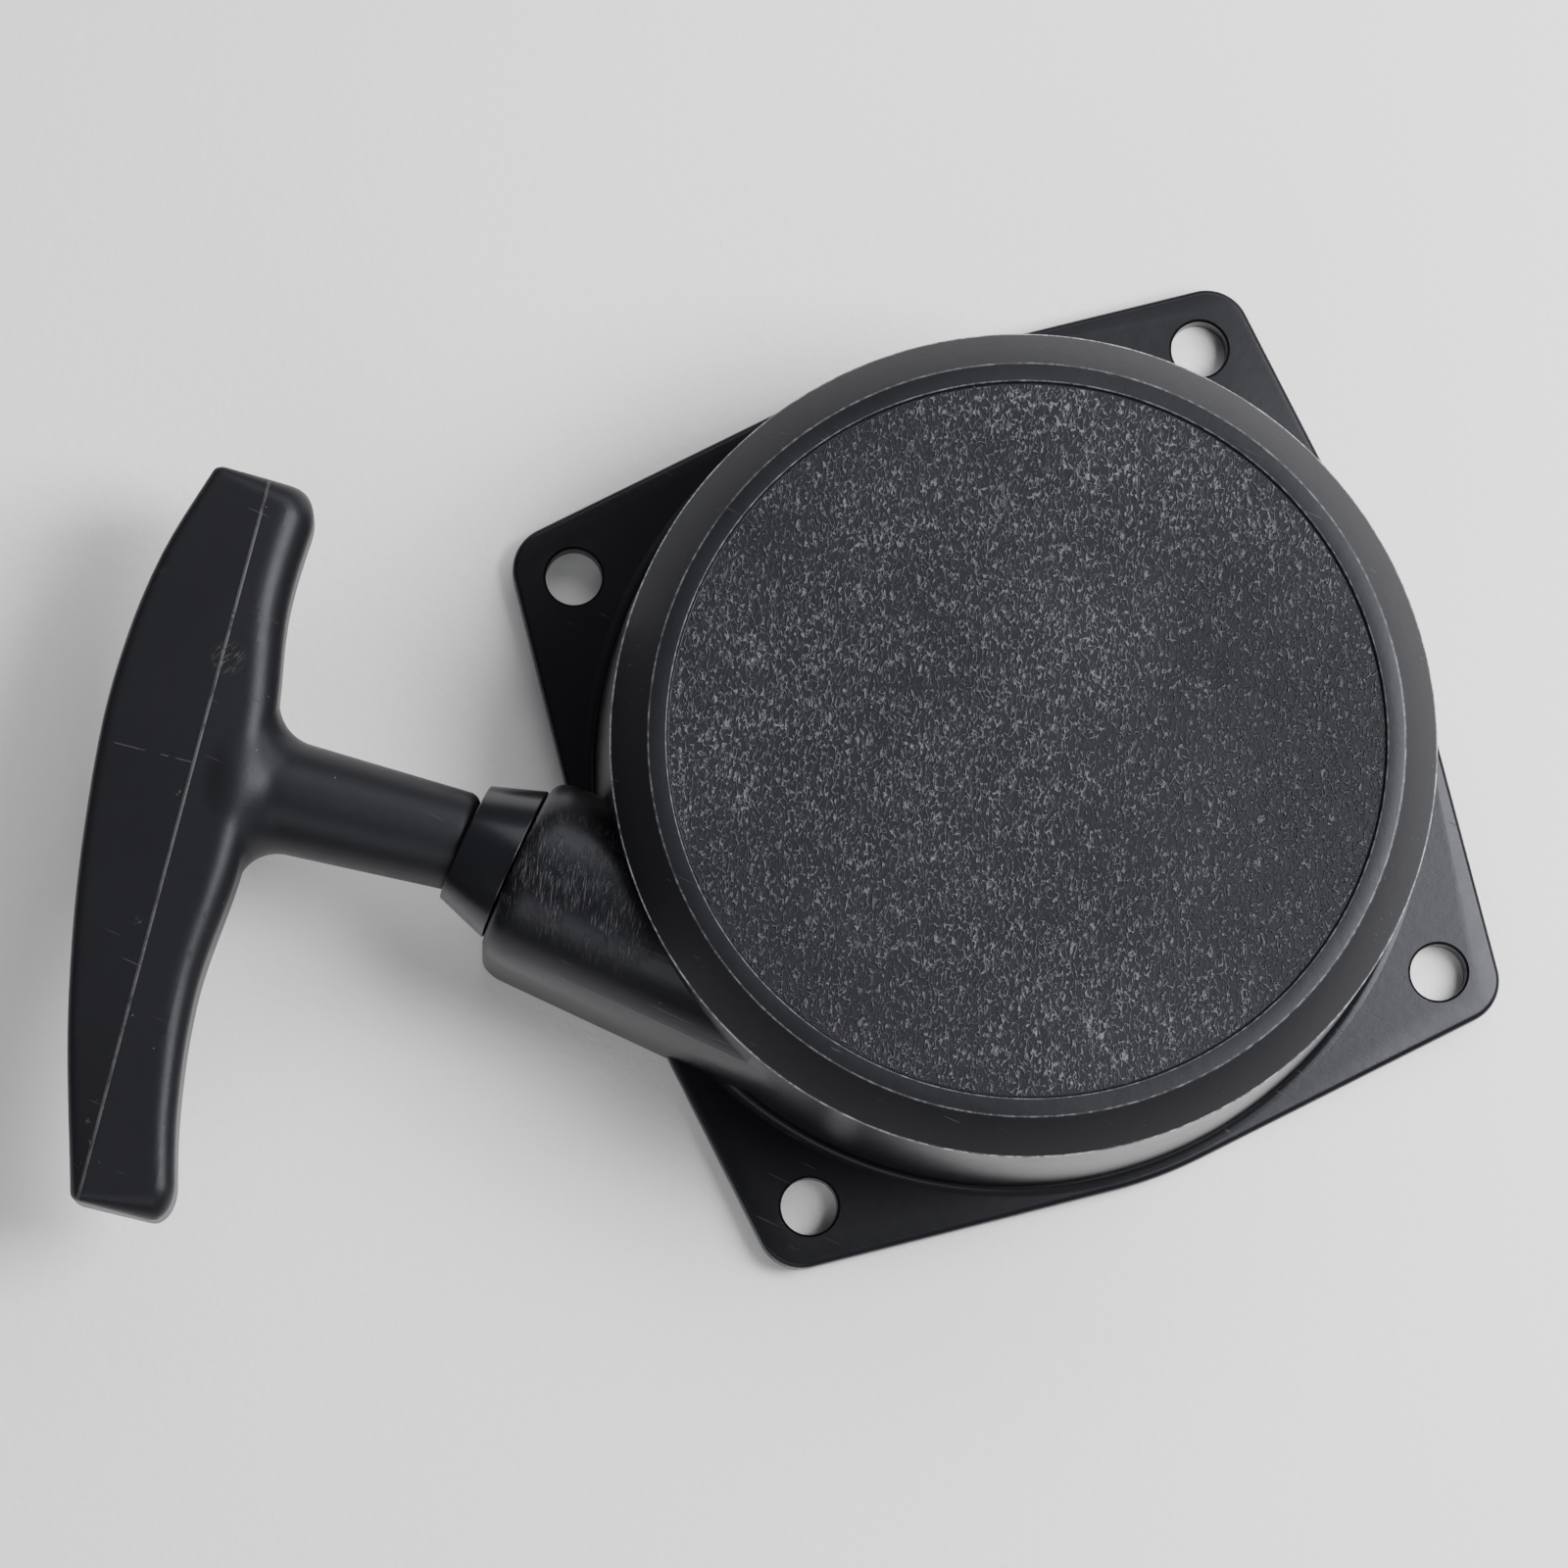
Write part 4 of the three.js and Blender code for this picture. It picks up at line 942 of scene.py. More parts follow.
def cover_body():
    """The flange, the round can and the rope outlet, hollowed out from the engine side."""
    can = turned("can", [
        (0, 1.5, 0), (CAN_FOOT, 1.5, 0), (CAN_FOOT, 4.02, 0), (50.3, 4.25, 1.0),
        (CAN_EDGE, CAN_EDGE_HEIGHT, 0.2), (CAN_CREASE, CAN_TOP, 0.35), (CAN_RECESS, CAN_TOP, 0.1),
        (CAN_RECESS - 0.25, CAN_TOP - RECESS_DEPTH, 0.15), (0, CAN_TOP - RECESS_DEPTH, 0)], 240)
    cavity = turned("cavity", [
        (0, -1, 0), (49.2, -1, 0), (48.5, 0.5, 0.4), (46.3, 34, 1.0), (42.3, CEILING, 1.5),
        (0, CEILING, 0)], 240)
    shell = cut(join(flange(), can, outlet_boss()), cavity)

    half = NOSE_RADIUS - NOSE_WALL
    core_top = ROPE_HEIGHT - NOSE_BORE - NOSE_WALL
    core_start = NOSE_END + NOSE_WALL + 1
    core = box("core", (NOSE_ROOT - core_start, 2 * half, core_top + 1),
               ((core_start + NOSE_ROOT) / 2, NOSE_Y, (core_top - 1) / 2))
    core = cut(core, disc("can_side", CAN_FOOT, -3, CAN_TOP, 240))
    bore = turned("bore", [
        (0, -3, 0), (NOSE_BORE + 1, -3, 0), (NOSE_BORE, 0.4, 0.3), (NOSE_BORE, 50, 0), (0, 50, 0)], 64)
    return cut(shell, core, along_outlet(bore))


def housing(material, spokes):
    """The cover with its post, ribs and studs inside, its screw holes and the marks of its ejector pins."""
    post = turned("post", [
        (POST_BORE, 11.6, 0.3), (POST_RADIUS, 11.6, 0.5), (POST_RADIUS, 36, 0.8), (8.5, 37.3, 0),
        (POST_BORE, 37.3, 0), (POST_BORE, 30, 0), (POST_BORE, 20, 0)], 64)
    ribs = grown("ceiling_ribs", spokes, {
        "Count": 6, "First radius": 6.0, "Length": 39.0, "Width": 1.4, "Bottom": 36.75, "Height": 0.5})
    shell = join(cover_body(), post, ribs)
    for i in range(STUDS):
        stud = box("stud", (3, 3, 1.9), (STUD_AT, 0, 36.45))
        shell = join(shell, move(stud, turn=360 / STUDS * i))
    for i in range(4):
        x, y = polar(HOLE_AT, 90 * i)
        hole = turned("hole", [
            (0, -1, 0), (HOLE_RADIUS + 1.3, -1, 0), (HOLE_RADIUS, 0.3, 0.15), (HOLE_RADIUS, 3.7, 0.15),
            (HOLE_RADIUS + 1.3, 5, 0), (0, 5, 0)], 64)
        shell = cut(shell, move(hole, x, y))
    for i in range(8):
        x, y = polar(50.6 if i % 2 else 63.0, 45 * i)
        mark = disc("ejector_mark", 1.4 if i % 2 else 1.5, -1, 0.18, 32)
        shell = cut(shell, move(mark, x, y))
    shell.name = "cover_shell"
    return finished(shell, material, "root", ["housing"], smooth=28)


def guide_bush(material):
    """The conical bush: a wide mouth for the grip's stem, and a passage that flares inwards for the rope."""
    face = -BUSH_LENGTH
    bush = turned("outlet_bush", [
        (BUSH_PASSAGE, 0, 0), (BUSH_PASSAGE, -1.2, 0), (BUSH_PASSAGE, face + 4.4, 1.2),
        (BUSH_NECK, face + 1.6, 0.5), (6.75, face, 0.25), (BUSH_TIP, face, 0.3), (BUSH_BASE, -0.12, 0.25),
        (BUSH_NECK, -0.12, 0.1), (BUSH_NECK, BUSH_SPIGOT, 0.5), (4.55, BUSH_SPIGOT, 0.5),
        (BUSH_PASSAGE, BUSH_SPIGOT - 2, 1.2), (BUSH_PASSAGE, 4, 0), (BUSH_PASSAGE, 2, 0)], 128)
    return finished(along_outlet(bush), material, "root", ["rope_guide_bush"])


# ---------- grip ----------

def smooth_line(knots):
    """A smooth line u(v) through knots (v, u), as a function of an array."""
    knots = sorted(knots)
    v = np.array([k[0] for k in knots], float)
    u = np.array([k[1] for k in knots], float)
    slope = np.gradient(u, v)

    def at(x):
        x = np.clip(x, v[0], v[-1])
        i = np.clip(np.searchsorted(v, x) - 1, 0, len(v) - 2)
        width = v[i + 1] - v[i]
        t = (x - v[i]) / width
        return ((2 * t**3 - 3 * t**2 + 1) * u[i] + (t**3 - 2 * t**2 + t) * width * slope[i]
                + (3 * t**2 - 2 * t**3) * u[i + 1] + (t**3 - t**2) * width * slope[i + 1])
    return at


PALM_AT, FINGER_AT = smooth_line(PALM_LINE), smooth_line(FINGER_LINE)


def round_out(a, b, radius):
    """The part inside both, with their corner rounded."""
    past_corner = np.hypot(np.maximum(a + radius, 0), np.maximum(b + radius, 0))
    return np.minimum(np.maximum(a, b), -radius) + past_corner


def round_in(a, b, radius):
    """The part inside either, with a fillet between them."""
    in_fillet = np.hypot(np.maximum(radius - a, 0), np.maximum(radius - b, 0))
    return np.maximum(np.minimum(a, b), radius) - in_fillet


def grip_depth(u, v, w):
    """How far outside the grip's skin a point lies, in millimetres, negative inside."""
    half = 7.4 - np.where(v > 0, v / GRIP_TOP, v / GRIP_BOTTOM) ** 2
    finger, palm = FINGER_AT(v), PALM_AT(v)
    finger_half = round_out(finger - u, np.abs(w) - half, 3.5 + 0.9 * np.clip(v / 36, -1, 1))
    palm_reach = np.maximum(palm - PARTING_U, 0.5)
    side = half - 0.6 * np.clip((u - PARTING_U) / palm_reach, 0, 1)
    palm_half = round_out(u - palm, np.abs(w) - side, 1.1)
    bar = np.where(u < PARTING_U, finger_half, palm_half)
    towards_palm = np.clip((u - finger) / np.maximum(palm - finger, 1), 0, 1)
    bar = round_out(bar, np.maximum(v - GRIP_TOP, GRIP_BOTTOM - v), 5.0 - 4.2 * towards_palm**0.7)
    stem = np.hypot(v, w) - 6.0 - 0.8 * np.clip(u / 22, 0, 1)
    stem = round_out(stem, np.maximum(-0.8 - u, u - 30), 1.6)
    return round_in(bar, stem, 4.6 - 2.2 * np.clip(np.abs(w) / 6.5, 0, 1) ** 2)


def skin_of(depth, low, high, step):
    """The closed mesh where a depth function is zero, pulled exactly onto the skin."""
    low, high = np.array(low, float), np.array(high, float)
    counts = np.ceil((high - low) / step).astype(int) + 1
    axes = [low[i] + step * np.arange(counts[i]) for i in range(3)]
    grid = np.stack(np.meshgrid(*axes, indexing="ij"), -1)
    inside = depth(grid[..., 0], grid[..., 1], grid[..., 2]) < 0
    cells = sum(inside[i:counts[0] - 1 + i, j:counts[1] - 1 + j, k:counts[2] - 1 + k].astype(int)
                for i in (0, 1) for j in (0, 1) for k in (0, 1))
    mixed = (cells > 0) & (cells < 8)
    number = -np.ones(cells.shape, int)
    number[mixed] = np.arange(mixed.sum())
    points = low + (np.argwhere(mixed) + 0.5) * step
    faces = []
    for axis in range(3):
        one, other = [a for a in range(3) if a != axis]
        here, there = [slice(1, -1)] * 3, [slice(1, -1)] * 3
        here[axis], there[axis] = slice(0, -1), slice(1, None)
        change = inside[tuple(here)] != inside[tuple(there)]
        for spot in np.argwhere(change):
            cell = spot.copy()
            cell[one] += 1
            cell[other] += 1
            corner = []
            for a, b in ((0, 0), (1, 0), (1, 1), (0, 1)):
                at = cell.copy()
                at[one] -= a
                at[other] -= b
                corner.append(int(number[tuple(at)]))
            filled = inside[tuple(spot + np.array([0 if a == axis else 1 for a in range(3)]))]
            faces.append(corner if filled == (axis != 1) else corner[::-1])
    reach = 0.05
    for _ in range(8):
        value = depth(*points.T)
        slope = np.stack([(depth(*(points + nudge).T) - depth(*(points - nudge).T)) / (2 * reach)
                          for nudge in reach * np.eye(3)], -1)
        size = np.maximum((slope**2).sum(-1), 0.05)
        points = points - np.clip(value / size, -step, step)[:, None] * slope * 0.8
    return points, faces


def grip_to_frame(u, v, w=0.0):
    """The place in the frame, in metres, of a point of the grip's own drawing."""
    return grip_matrix() @ Vector((u, -v, w))


def grip_matrix():
    """From the grip's drawing, in millimetres with x along the stem, to metres in the frame."""
    yaw = math.atan2(PULL.y, PULL.x)
    mouth = Vector((REEL_AXIS.x, REEL_AXIS.y, 0)) + MOUTH * MM
    return Matrix.Translation(mouth) @ Matrix.Rotation(yaw, 4, "Z") @ Matrix.Scale(MM, 4)


def finished_on_grip(thing, material, replaces, smooth=35):
    """Places a shape of the grip's own drawing in the frame and gives it its finish."""
    place = grip_matrix() @ Matrix.Scale(1 / MM, 4)
    return finished(thing, material, "handle", replaces, smooth, place)


def grip(material):
    """The T-handle, with the rope's passage through its stem and the knot's pocket in its palm side."""
    step = 0.55
    points, faces = skin_of(grip_depth, (-3, -56, -10), (48, 39, 10), step)
    points[:, 1] *= -1
    body = solid("grip", points, faces)
    bore = turned("bore", [
        (0, -4, 0), (4.4, -4, 0), (2.4, 0.2, 0.6), (2.4, POCKET_FLOOR, 0), (POCKET_RADIUS, POCKET_FLOOR, 0.4),
        (POCKET_RADIUS, 44.2, 0), (POCKET_RADIUS + 0.25, 60, 0), (0, 60, 0)], 64)
    bore.data.transform(Matrix.Rotation(math.pi / 2, 4, "Y"))
    body = cut(body, bore)
    return finished_on_grip(body, material, ["handle_grip"], 40)


# ---------- rope ----------

def rope_coil(material):
    """Two layers of two turns, from the hole in the rim to where the rope leaves the reel."""
    path = []
    lift = GROOVE_HALF - ROPE_RADIUS - 0.3
    turns, steps = 4, 72
    for i in range(turns * steps + 1):
        turn = i / steps
        layer = 1 if turn >= 2 else 0
        step_up = min(1.0, max(0.0, (turn - 2) * 6))
        radius = ROPE_OUTER_TURN - ROPE_LAYER * (1 - step_up)
        within = turn - 2 * layer
        side = -1 if layer == 0 else 1
        height = ROPE_HEIGHT + side * lift * (2 * min(1.0, max(0.0, (within - 0.8) * 2.5)) - 1)
        x, y = polar(radius, -90 + 360 * (turns - turn))
        path.append((x, y, height))
    coil = tube("wound_rope", path, ROPE_RADIUS - 0.02, 14)
    return finished(coil, material, "reel", ["rope_coil"], 60)


def starter_rope(material):
    """The rope from the reel to the grip. Its braid is laid out for the rope when it is drawn out."""
    mouth = Vector((MOUTH.x, MOUTH.y, ROPE_HEIGHT))
    out = Vector((PULL.x, PULL.y, 0))
    first = ROPE_OUTER_TURN + ROPE_RADIUS
    start_x = -math.sqrt((first + 0.3) ** 2 - (ROPE_OUTER_TURN - ROPE_RADIUS) ** 2) - 0.1
    blend_from = -1.5
    blend_to = 2.5
    off_reel = Vector((start_x, -ROPE_OUTER_TURN, ROPE_HEIGHT))
    in_outlet = Vector((NOSE_END + 4, -ROPE_OUTER_TURN, ROPE_HEIGHT))
    path = [off_reel.lerp(in_outlet, k / 8) for k in range(9)]
    bend_start = Vector((NOSE_END + 1, -ROPE_OUTER_TURN, ROPE_HEIGHT))
    bend_end = mouth + out * -3
    path += [bend_start.lerp(bend_end, k / 4) for k in range(5)]
    path += [mouth + out * d for d in np.linspace(blend_from - 0.5, blend_to + 0.5, 41)]
    path += [mouth + out * d for d in np.linspace(6, POCKET_FLOOR + 1, 12)]
    lengths = [0.0]
    for a, b in zip(path, path[1:]):
        lengths.append(lengths[-1] + (b - a).length)
    drawn_out = []
    for point, length in zip(path, lengths):
        share = min(1.0, max(0.0, ((point - mouth).dot(out) - blend_from) / (blend_to - blend_from)))
        drawn_out.append(length + PULL_LENGTH * share * share * (3 - 2 * share))
    rope = tube("starter_cord", path, ROPE_RADIUS, 16, drawn_out)
    finished(rope, material, None, ["starter_rope"], 60)
    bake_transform(rope)
    return rope


def overhand_knot(name, radius, scale):
    """An overhand knot about z: the rope comes up from below, goes round and through, and ends in a tail."""
    path = []
    for t in np.linspace(0.42, 2 * math.pi - 0.25, 90):
        path.append(Vector((math.sin(t) + 2 * math.sin(2 * t), math.cos(t) - 2 * math.cos(2 * t),
                            -1.55 * math.sin(3 * t) + 0.1)) * scale)
    return tube(name, path, radius, 12)


def grip_knot(material):
    """The stopper knot that the washer holds in the grip's pocket."""
    knot = overhand_knot("grip_knot", 1.35, 1.1)
    low, high = node_of_grip("handle_knot")
    knot.data.transform(Matrix.Translation(((low + high) / 2, 0, 0)) @ Matrix.Rotation(math.pi / 2, 4, "Y"))
    return finished_on_grip(knot, material, ["handle_knot"], 60)


def node_of_grip(node):
    """The stretch of a grip node along the stem, in millimetres."""
    back = grip_matrix().inverted()
    along = [(back @ v.co).x for v in frame["nodes"][node].data.vertices]
    return min(along), max(along)


def reel_knot(material):
    """The stopper knot behind the reel's rope hole."""
    knot = overhand_knot("reel_end_knot", 1.2, 0.78)
    knot.data.transform(Matrix.Translation((24.9, 0, ROPE_HEIGHT)) @ Matrix.Rotation(math.pi / 2, 4, "Y"))
    return finished(knot, material, "reel", ["reel_knot"], 60)


# ---------- reel and what it carries ----------

def reel(material, spokes):
    """The rope reel: a hub, a ribbed web with two pawl bosses, and a grooved rim with the rope's hole."""
    top = ROPE_HEIGHT + GROOVE_HALF
    bottom = ROPE_HEIGHT - GROOVE_HALF
    low, high = node_span("reel", 2)
    outer = node_span("reel", 0)[1]
    body = turned("rope_reel", [
        (REEL_BORE, 14, 0), (REEL_BORE, low, 0.3), (REEL_HUB, low, 0.5), (REEL_HUB, top, 0.8),
        (REEL_SKIRT, top, 0.8), (REEL_SKIRT, bottom - REEL_RIM, 0.4), (outer, bottom - REEL_RIM, 0.7),
        (outer, bottom - 0.6, 0.7), (GROOVE_RADIUS, bottom, 0.6), (GROOVE_RADIUS, top, 0.6),
        (outer, top + 0.6, 0.7), (outer, top + REEL_RIM, 0.7), (REEL_HUB, top + REEL_RIM, 0.5),
        (REEL_HUB, high, 0.4), (REEL_BORE, high, 0.4), (REEL_BORE, 20, 0), (REEL_BORE, 16, 0)], 192)
    ribs = grown("reel_ribs", spokes, {
        "Count": 8, "First radius": REEL_HUB - 0.5, "Length": REEL_SKIRT - REEL_HUB + 0.9, "Width": 1.6,
        "Bottom": RIB_BOTTOM, "Height": top + 0.2 - RIB_BOTTOM, "Turn": math.pi / 8})
    body = join(body, ribs)
    for side in (0, 180):
        boss = disc("pawl_boss", PAWL_BOSS, RIB_BOTTOM, top + 0.2, 48, 0.35)
        body = join(body, move(boss, PAWL_PIVOT, turn=side))
        hole = disc("pin_hole", 1.8, 5, 24.3, 32)
        body = cut(body, move(hole, PAWL_PIVOT, turn=side))
    for i in range(8):
        mark = disc("ejector_mark", 1.6, 5, bottom - REEL_RIM + 0.15, 24)
        body = cut(body, move(mark, 36.5, turn=45 * i))
    hole = disc("rope_hole", ROPE_RADIUS + 0.4, 26, 44, 32)
    hole.data.transform(Matrix.Translation((0, 0, ROPE_HEIGHT)) @ Matrix.Rotation(math.pi / 2, 4, "Y"))
    body = cut(body, hole)
    return finished(body, material, "reel", ["reel"], 30)


def quadratic(a, b, c, steps):
    """Points along a parabola from a to c, drawn towards b."""
    a, b, c = Vector(a), Vector(b), Vector(c)
    return [tuple(a * (1 - t) ** 2 + b * 2 * t * (1 - t) + c * t * t) for t in np.linspace(0, 1, steps + 1)]


def pawl_outline():
    """A hooked tooth about its pivot, pointing along x."""
    tip = 1.6
    start = Vector(polar(PAWL_BOSS, 300))
    lower = quadratic(start, (PAWL_LENGTH * 0.55, -PAWL_BOSS - 0.4), (PAWL_LENGTH, -tip - 1.2), 10)
    first = Vector(polar(PAWL_BOSS, 70))
    upper = quadratic((PAWL_LENGTH + 0.6, tip - 0.4), (PAWL_LENGTH * 0.5, tip + 0.6), first, 10)
    return arc((0, 0), PAWL_BOSS, 70, 300, 32) + lower[1:] + upper[:-1]


def pawl(letter, side, material):
    """A stamped pawl with the peg that follows the plate's slot."""
    node = f"pawl_{letter}"
    low, high = node_span(node, 2)
    body_low = high - 3.4
    hole = arc((0, 0), 1.75, 360, 10, 32)
    body = flat_plate(f"starter_{node}", [pawl_outline(), hole], body_low, high, 0.3)
    peg = disc("peg", PEG_RADIUS, low, body_low + 0.8, 32, 0.25)
    body = join(body, move(peg, PEG_REACH))
    body.data.transform(Matrix.Rotation(math.radians(side), 4, "Z") @ Matrix.Translation((PAWL_PIVOT, 0, 0))
                        @ Matrix.Rotation(math.radians(PAWL_REST), 4, "Z"))
    body.name = f"starter_{node}"
    return finished(body, material, node, [node], 35)


def pawl_pin(letter, side, material):
    """The headed pin that a pawl swings on."""
    node = f"pawl_pin_{letter}"
    low, high = node_span(node, 2)
    pin = turned(f"headed_{node}", [
        (0, low + 0.15, 0), (1.2, low + 0.15, 0.2), (1.5, low, 0.2), (2.8, low, 0.35), (2.8, low + 1.1, 0.15),
        (1.5, low + 1.1, 0), (1.5, high, 0.4), (0, high, 0)], 48)
    return finished(move(pin, PAWL_PIVOT, turn=side), material, "reel", [node])


def pawl_spring(letter, side, material):
    """A wire wound round the pin, with one leg on the pawl and one on the reel."""
    node = f"pawl_spring_{letter}"
    low, high = node_span(node, 2)
    wire = 0.25
    coil = 2.7
    turns = 1.5
    leg = 8.0
    rise = high - low - 2 * wire
    path = [(coil, -leg * k / 4, low + wire) for k in range(4, 0, -1)]
    for k in range(49):
        angle = 360 * turns * k / 48
        x, y = polar(coil, angle)
        path.append((x, y, low + wire + rise * k / 48))
    last = 360 * turns
    for k in range(1, 5):
        x, y = polar(coil, last)
        dx, dy = polar(leg * k / 4, last + 90)
        path.append((x + dx, y + dy, high - wire))
    spring = tube(f"return_{node}", path, wire, 10)
    spring.data.transform(Matrix.Rotation(math.radians(side), 4, "Z") @ Matrix.Translation((PAWL_PIVOT, 0, 0))
                          @ Matrix.Rotation(math.radians(PAWL_REST + 90), 4, "Z"))
    return finished(spring, material, "reel", [node], 60)


def peg_on_plate(swing, side):
    """Where a pawl's peg stands over the plate when the pawl has swung by some degrees."""
    x, y = polar(PEG_REACH, PAWL_REST + swing)
    peg = Vector((PAWL_PIVOT + x, y))
    return Matrix.Rotation(math.radians(side - PLATE_SHARE * swing), 2) @ peg


def slot_outline(side, half_width):
    """The outline round the line that a pawl's peg follows over the plate."""
    line = [peg_on_plate(swing, side) for swing in np.linspace(-1, PAWL_SWING + 1, 12)]
    left, right = [], []
    for i, point in enumerate(line):
        ahead = (line[min(i + 1, 11)] - line[max(i - 1, 0)]).normalized()
        across = Vector((-ahead.y, ahead.x)) * half_width
        left.append(tuple(point + across))
        right.append(tuple(point - across))
    ends = []
    for tip, towards in ((line[-1], line[-1] - line[-2]), (line[0], line[0] - line[1])):
        heading = math.degrees(math.atan2(towards.y, towards.x))
        ends.append(arc(tip, half_width, heading + 90, heading - 90, 8)[1:-1])
    return left + ends[0] + right[::-1] + ends[1]


def guide_plate(material):
    """The pressed plate that throws the pawls out: a hub and two arms, each with a slot for a peg."""
    low, high = node_span("pawl_guide_plate", 2)
    hub = 13.5
    arm = 25.0
    first = -64
    last = -8
    ease = 5
    outline = []
    for side in (0, 180):
        outline += arc((0, 0), hub, side - 180 + last + ease, side + first - ease, 24)
        outline += arc((0, 0), arm, side + first + 1.5, side + last - 1.5, 24)
    hole = arc((0, 0), 3.2, 360, 10, 32)
    slots = [slot_outline(side, PEG_RADIUS + 0.5) for side in (0, 180)]
    plate = flat_plate("pawl_thrower", [outline, hole] + slots, low, high, 0.25)
    return finished(plate, material, "guide_plate", ["pawl_guide_plate"], 35)


# ---------- centre fastening, springs and small metal ----------

def centre_screw(material):
    """A dished hexagon head on a collar, and the plain shank above it."""
    low, high = node_span("centre_screw", 2)
    head_top = 5.1
    collar = turned("collar", [
        (0, head_top - 1.4, 0), (5.0, head_top - 1.4, 0), (6.6, head_top - 0.9, 0.2), (6.6, head_top, 0.15),
        (2.5, head_top, 0.2), (2.5, high, 0.7), (0, high, 0)], 64)
    across = 10.0
    hexagon = [polar(across / math.sqrt(3), 60 * k) for k in range(6)]
    head = lofted("head", [[(x, y, z) for x, y in hexagon] for z in (head_top - 1.0, low + 0.001)])
    chamfer = turned("chamfer", [
        (0, low - 1, 0), (4.2, low - 1, 0), (4.9, low, 0), (7.5, low + 1.5, 0), (7.5, head_top, 0),
        (0, head_top, 0)], 64)
    dish_floor = low + 0.35
    dish = turned("dish", [(0, low - 1, 0), (3.4, low - 1, 0), (2.9, dish_floor, 0.2), (0, dish_floor, 0)], 48)
    screw = join(cut(combine(head, "INTERSECT", chamfer), dish), collar)
    screw.name = "hex_screw"
    return finished(screw, material, "root", ["centre_screw"], 25)


def washer(name, node, inner, material, edge=0.25):
    """A flat washer on the reel axis."""
    low, high = node_span(node, 2)
    outer = node_span(node, 0)[1]
    middle = (low + high) / 2
    ring = turned(name, [(inner, middle, 0), (inner, low, edge), (outer, low, edge), (outer, high, edge),
                         (inner, high, edge), (inner, middle + 0.01, 0)], 96, 3)
    return finished(ring, material, "root", [node])


def grip_washer(material):
    """The washer under the grip's knot."""
    low, high = node_of_grip("handle_washer")
    middle = (low + high) / 2
    ring = turned("pocket_washer", [(2.2, middle, 0), (2.2, low, 0.2), (4.9, low, 0.25), (4.9, high, 0.25),
                                    (2.2, high, 0.2), (2.2, middle + 0.01, 0)], 64, 3)
    ring.data.transform(Matrix.Rotation(math.pi / 2, 4, "Y"))
    return finished_on_grip(ring, material, ["handle_washer"])


def sleeve(name, node, inner, outer, body, material):
    """A plain round sleeve on the reel axis."""
    low, high = node_span(node, 2)
    middle = (low + high) / 2
    ring = turned(name, [(inner, middle, 0), (inner, low, 0.3), (outer, low, 0.3), (outer, high, 0.3),
                         (inner, high, 0.3), (inner, middle + 1, 0)], 64, 3)
    return finished(ring, material, body, [node])


def drag_spring(tree, material):
    """The coil spring that drags on the guide plate."""
    low, high = node_span("friction_spring", 2)
    wire = 0.8
    coil = grown("drag_spring", tree, {
        "Turns": 2.6, "Steps": 96, "Inner radius": 6.0, "Outer radius": 6.0, "Rise": high - low - wire,
        "Thickness": wire, "Height": wire, "Material": material})
    coil.data.transform(Matrix.Translation((0, 0, low + wire / 2)))
    return finished(coil, material, "root", ["friction_spring"], 60)


def recoil_spring(tree, material):
    """The flat spiral spring that takes the rope back."""
    low, high = node_span("main_spring", 2)
    coil = grown("recoil_spring", tree, {
        "Turns": 9.0, "Steps": 540, "Inner radius": 13.2, "Outer radius": 34.2, "Rise": 0.0,
        "Thickness": 0.5, "Height": high - low, "Material": material})
    coil.data.transform(Matrix.Translation((0, 0, (low + high) / 2)))
    return finished(coil, material, "root", ["main_spring"], 40)


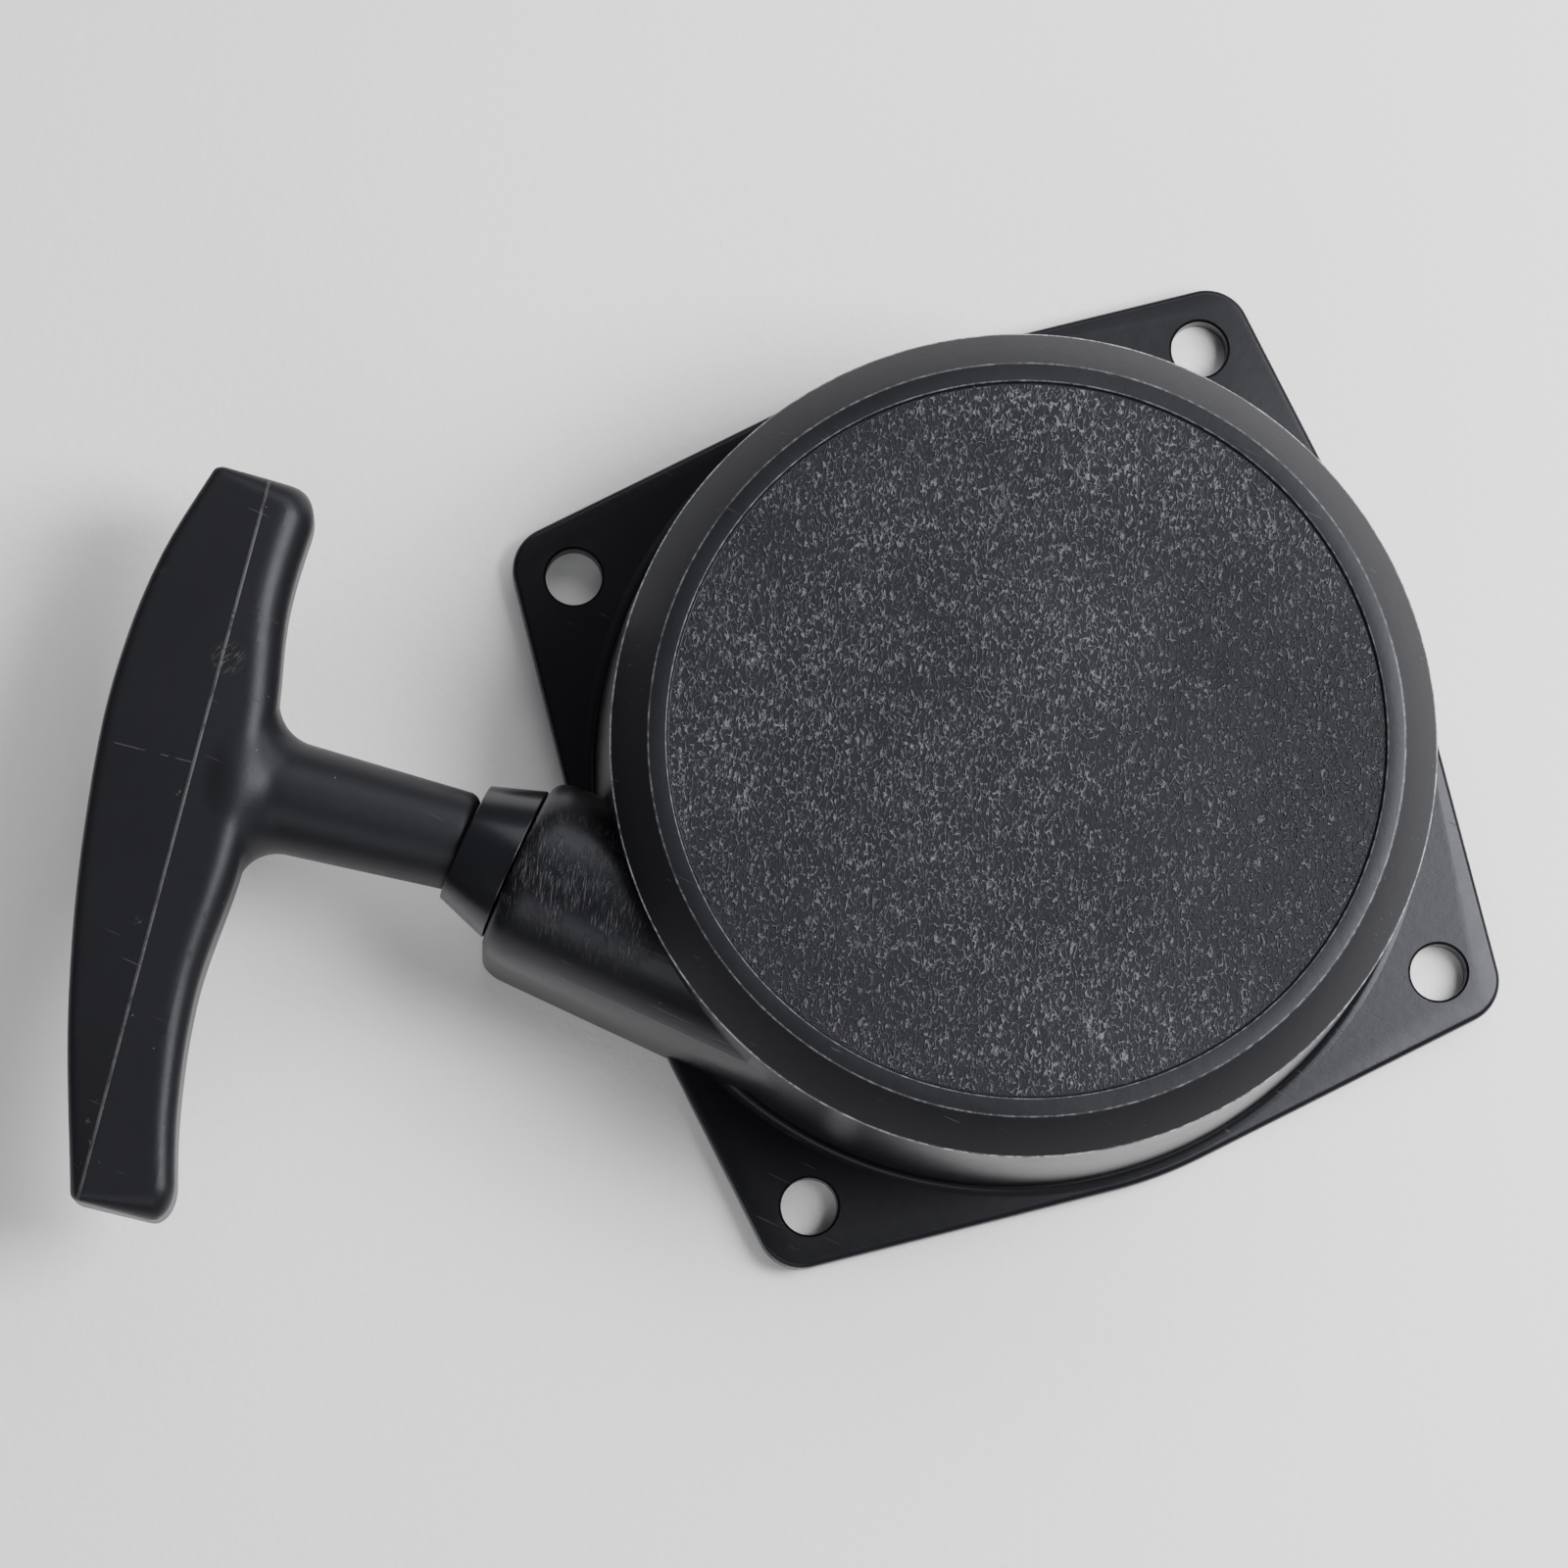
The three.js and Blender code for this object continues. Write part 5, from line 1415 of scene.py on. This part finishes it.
def spring_cup(material):
    """The pressed case over the spiral spring, keyed on the cover's studs."""
    low, high = node_span("spring_case", 2)
    outer = node_span("spring_case", 0)[1]
    cup = turned("spring_cup", [
        (12.6, high - 0.8, 0.1), (outer - 0.8, high - 0.8, 0.6), (outer - 0.8, low, 0.1), (outer, low, 0.1),
        (outer, high, 1.2), (12.6, high, 0.1), (12.6, high - 0.3, 0), (12.6, high - 0.5, 0)], 160)
    for i in range(STUDS):
        hole = box("stud_hole", (3.6, 3.6, 4), (STUD_AT, 0, high))
        cup = cut(cup, move(hole, turn=360 / STUDS * i))
    return finished(cup, material, "root", ["spring_case"])


# ---------- the whole starter ----------

def build():
    """The camera, the studio and every piece of the starter."""
    set_camera()
    set_studio()
    spokes, strip = spokes_tree(), coiled_strip_tree()
    housing_plastic, bush_plastic = housing_finish(), bush_finish()
    handle_plastic, nylon, rope = handle_finish(), reel_finish(), rope_finish()
    zinc = metal_finish("zinc_steel", (0.56, 0.57, 0.6, 1), (0.3, 0.29, 0.27, 1), 0.28, 0.35)
    hard = metal_finish("pawl_steel", (0.2, 0.2, 0.21, 1), (0.08, 0.07, 0.065, 1), 0.34, 0.6)
    sheet = metal_finish("sheet_steel", (0.5, 0.51, 0.54, 1), (0.33, 0.31, 0.27, 1), 0.3, 0.45)
    blued = metal_finish("spring_steel", (0.14, 0.15, 0.19, 1), (0.09, 0.07, 0.06, 1), 0.26, 0.4)
    brass = metal_finish("brass", (0.66, 0.47, 0.2, 1), (0.3, 0.2, 0.1, 1), 0.3, 0.35)

    housing(housing_plastic, spokes)
    guide_bush(bush_plastic)
    grip(handle_plastic)
    grip_washer(zinc)
    grip_knot(rope)
    starter_rope(rope)
    rope_coil(rope)
    reel_knot(rope)
    reel(nylon, spokes)
    sleeve("reel_sleeve", "reel_bush", 6.6, 8.1, "reel", brass)
    sleeve("thread_insert", "post_insert", 2.8, 4.2, "root", brass)
    for letter, side in (("a", 0), ("b", 180)):
        pawl(letter, side, hard)
        pawl_pin(letter, side, zinc)
        pawl_spring(letter, side, blued)
    guide_plate(sheet)
    centre_screw(zinc)
    washer("retaining_washer", "screw_washer", 2.9, zinc)
    drag_spring(strip, blued)
    recoil_spring(strip, blued)
    spring_cup(sheet)


build()
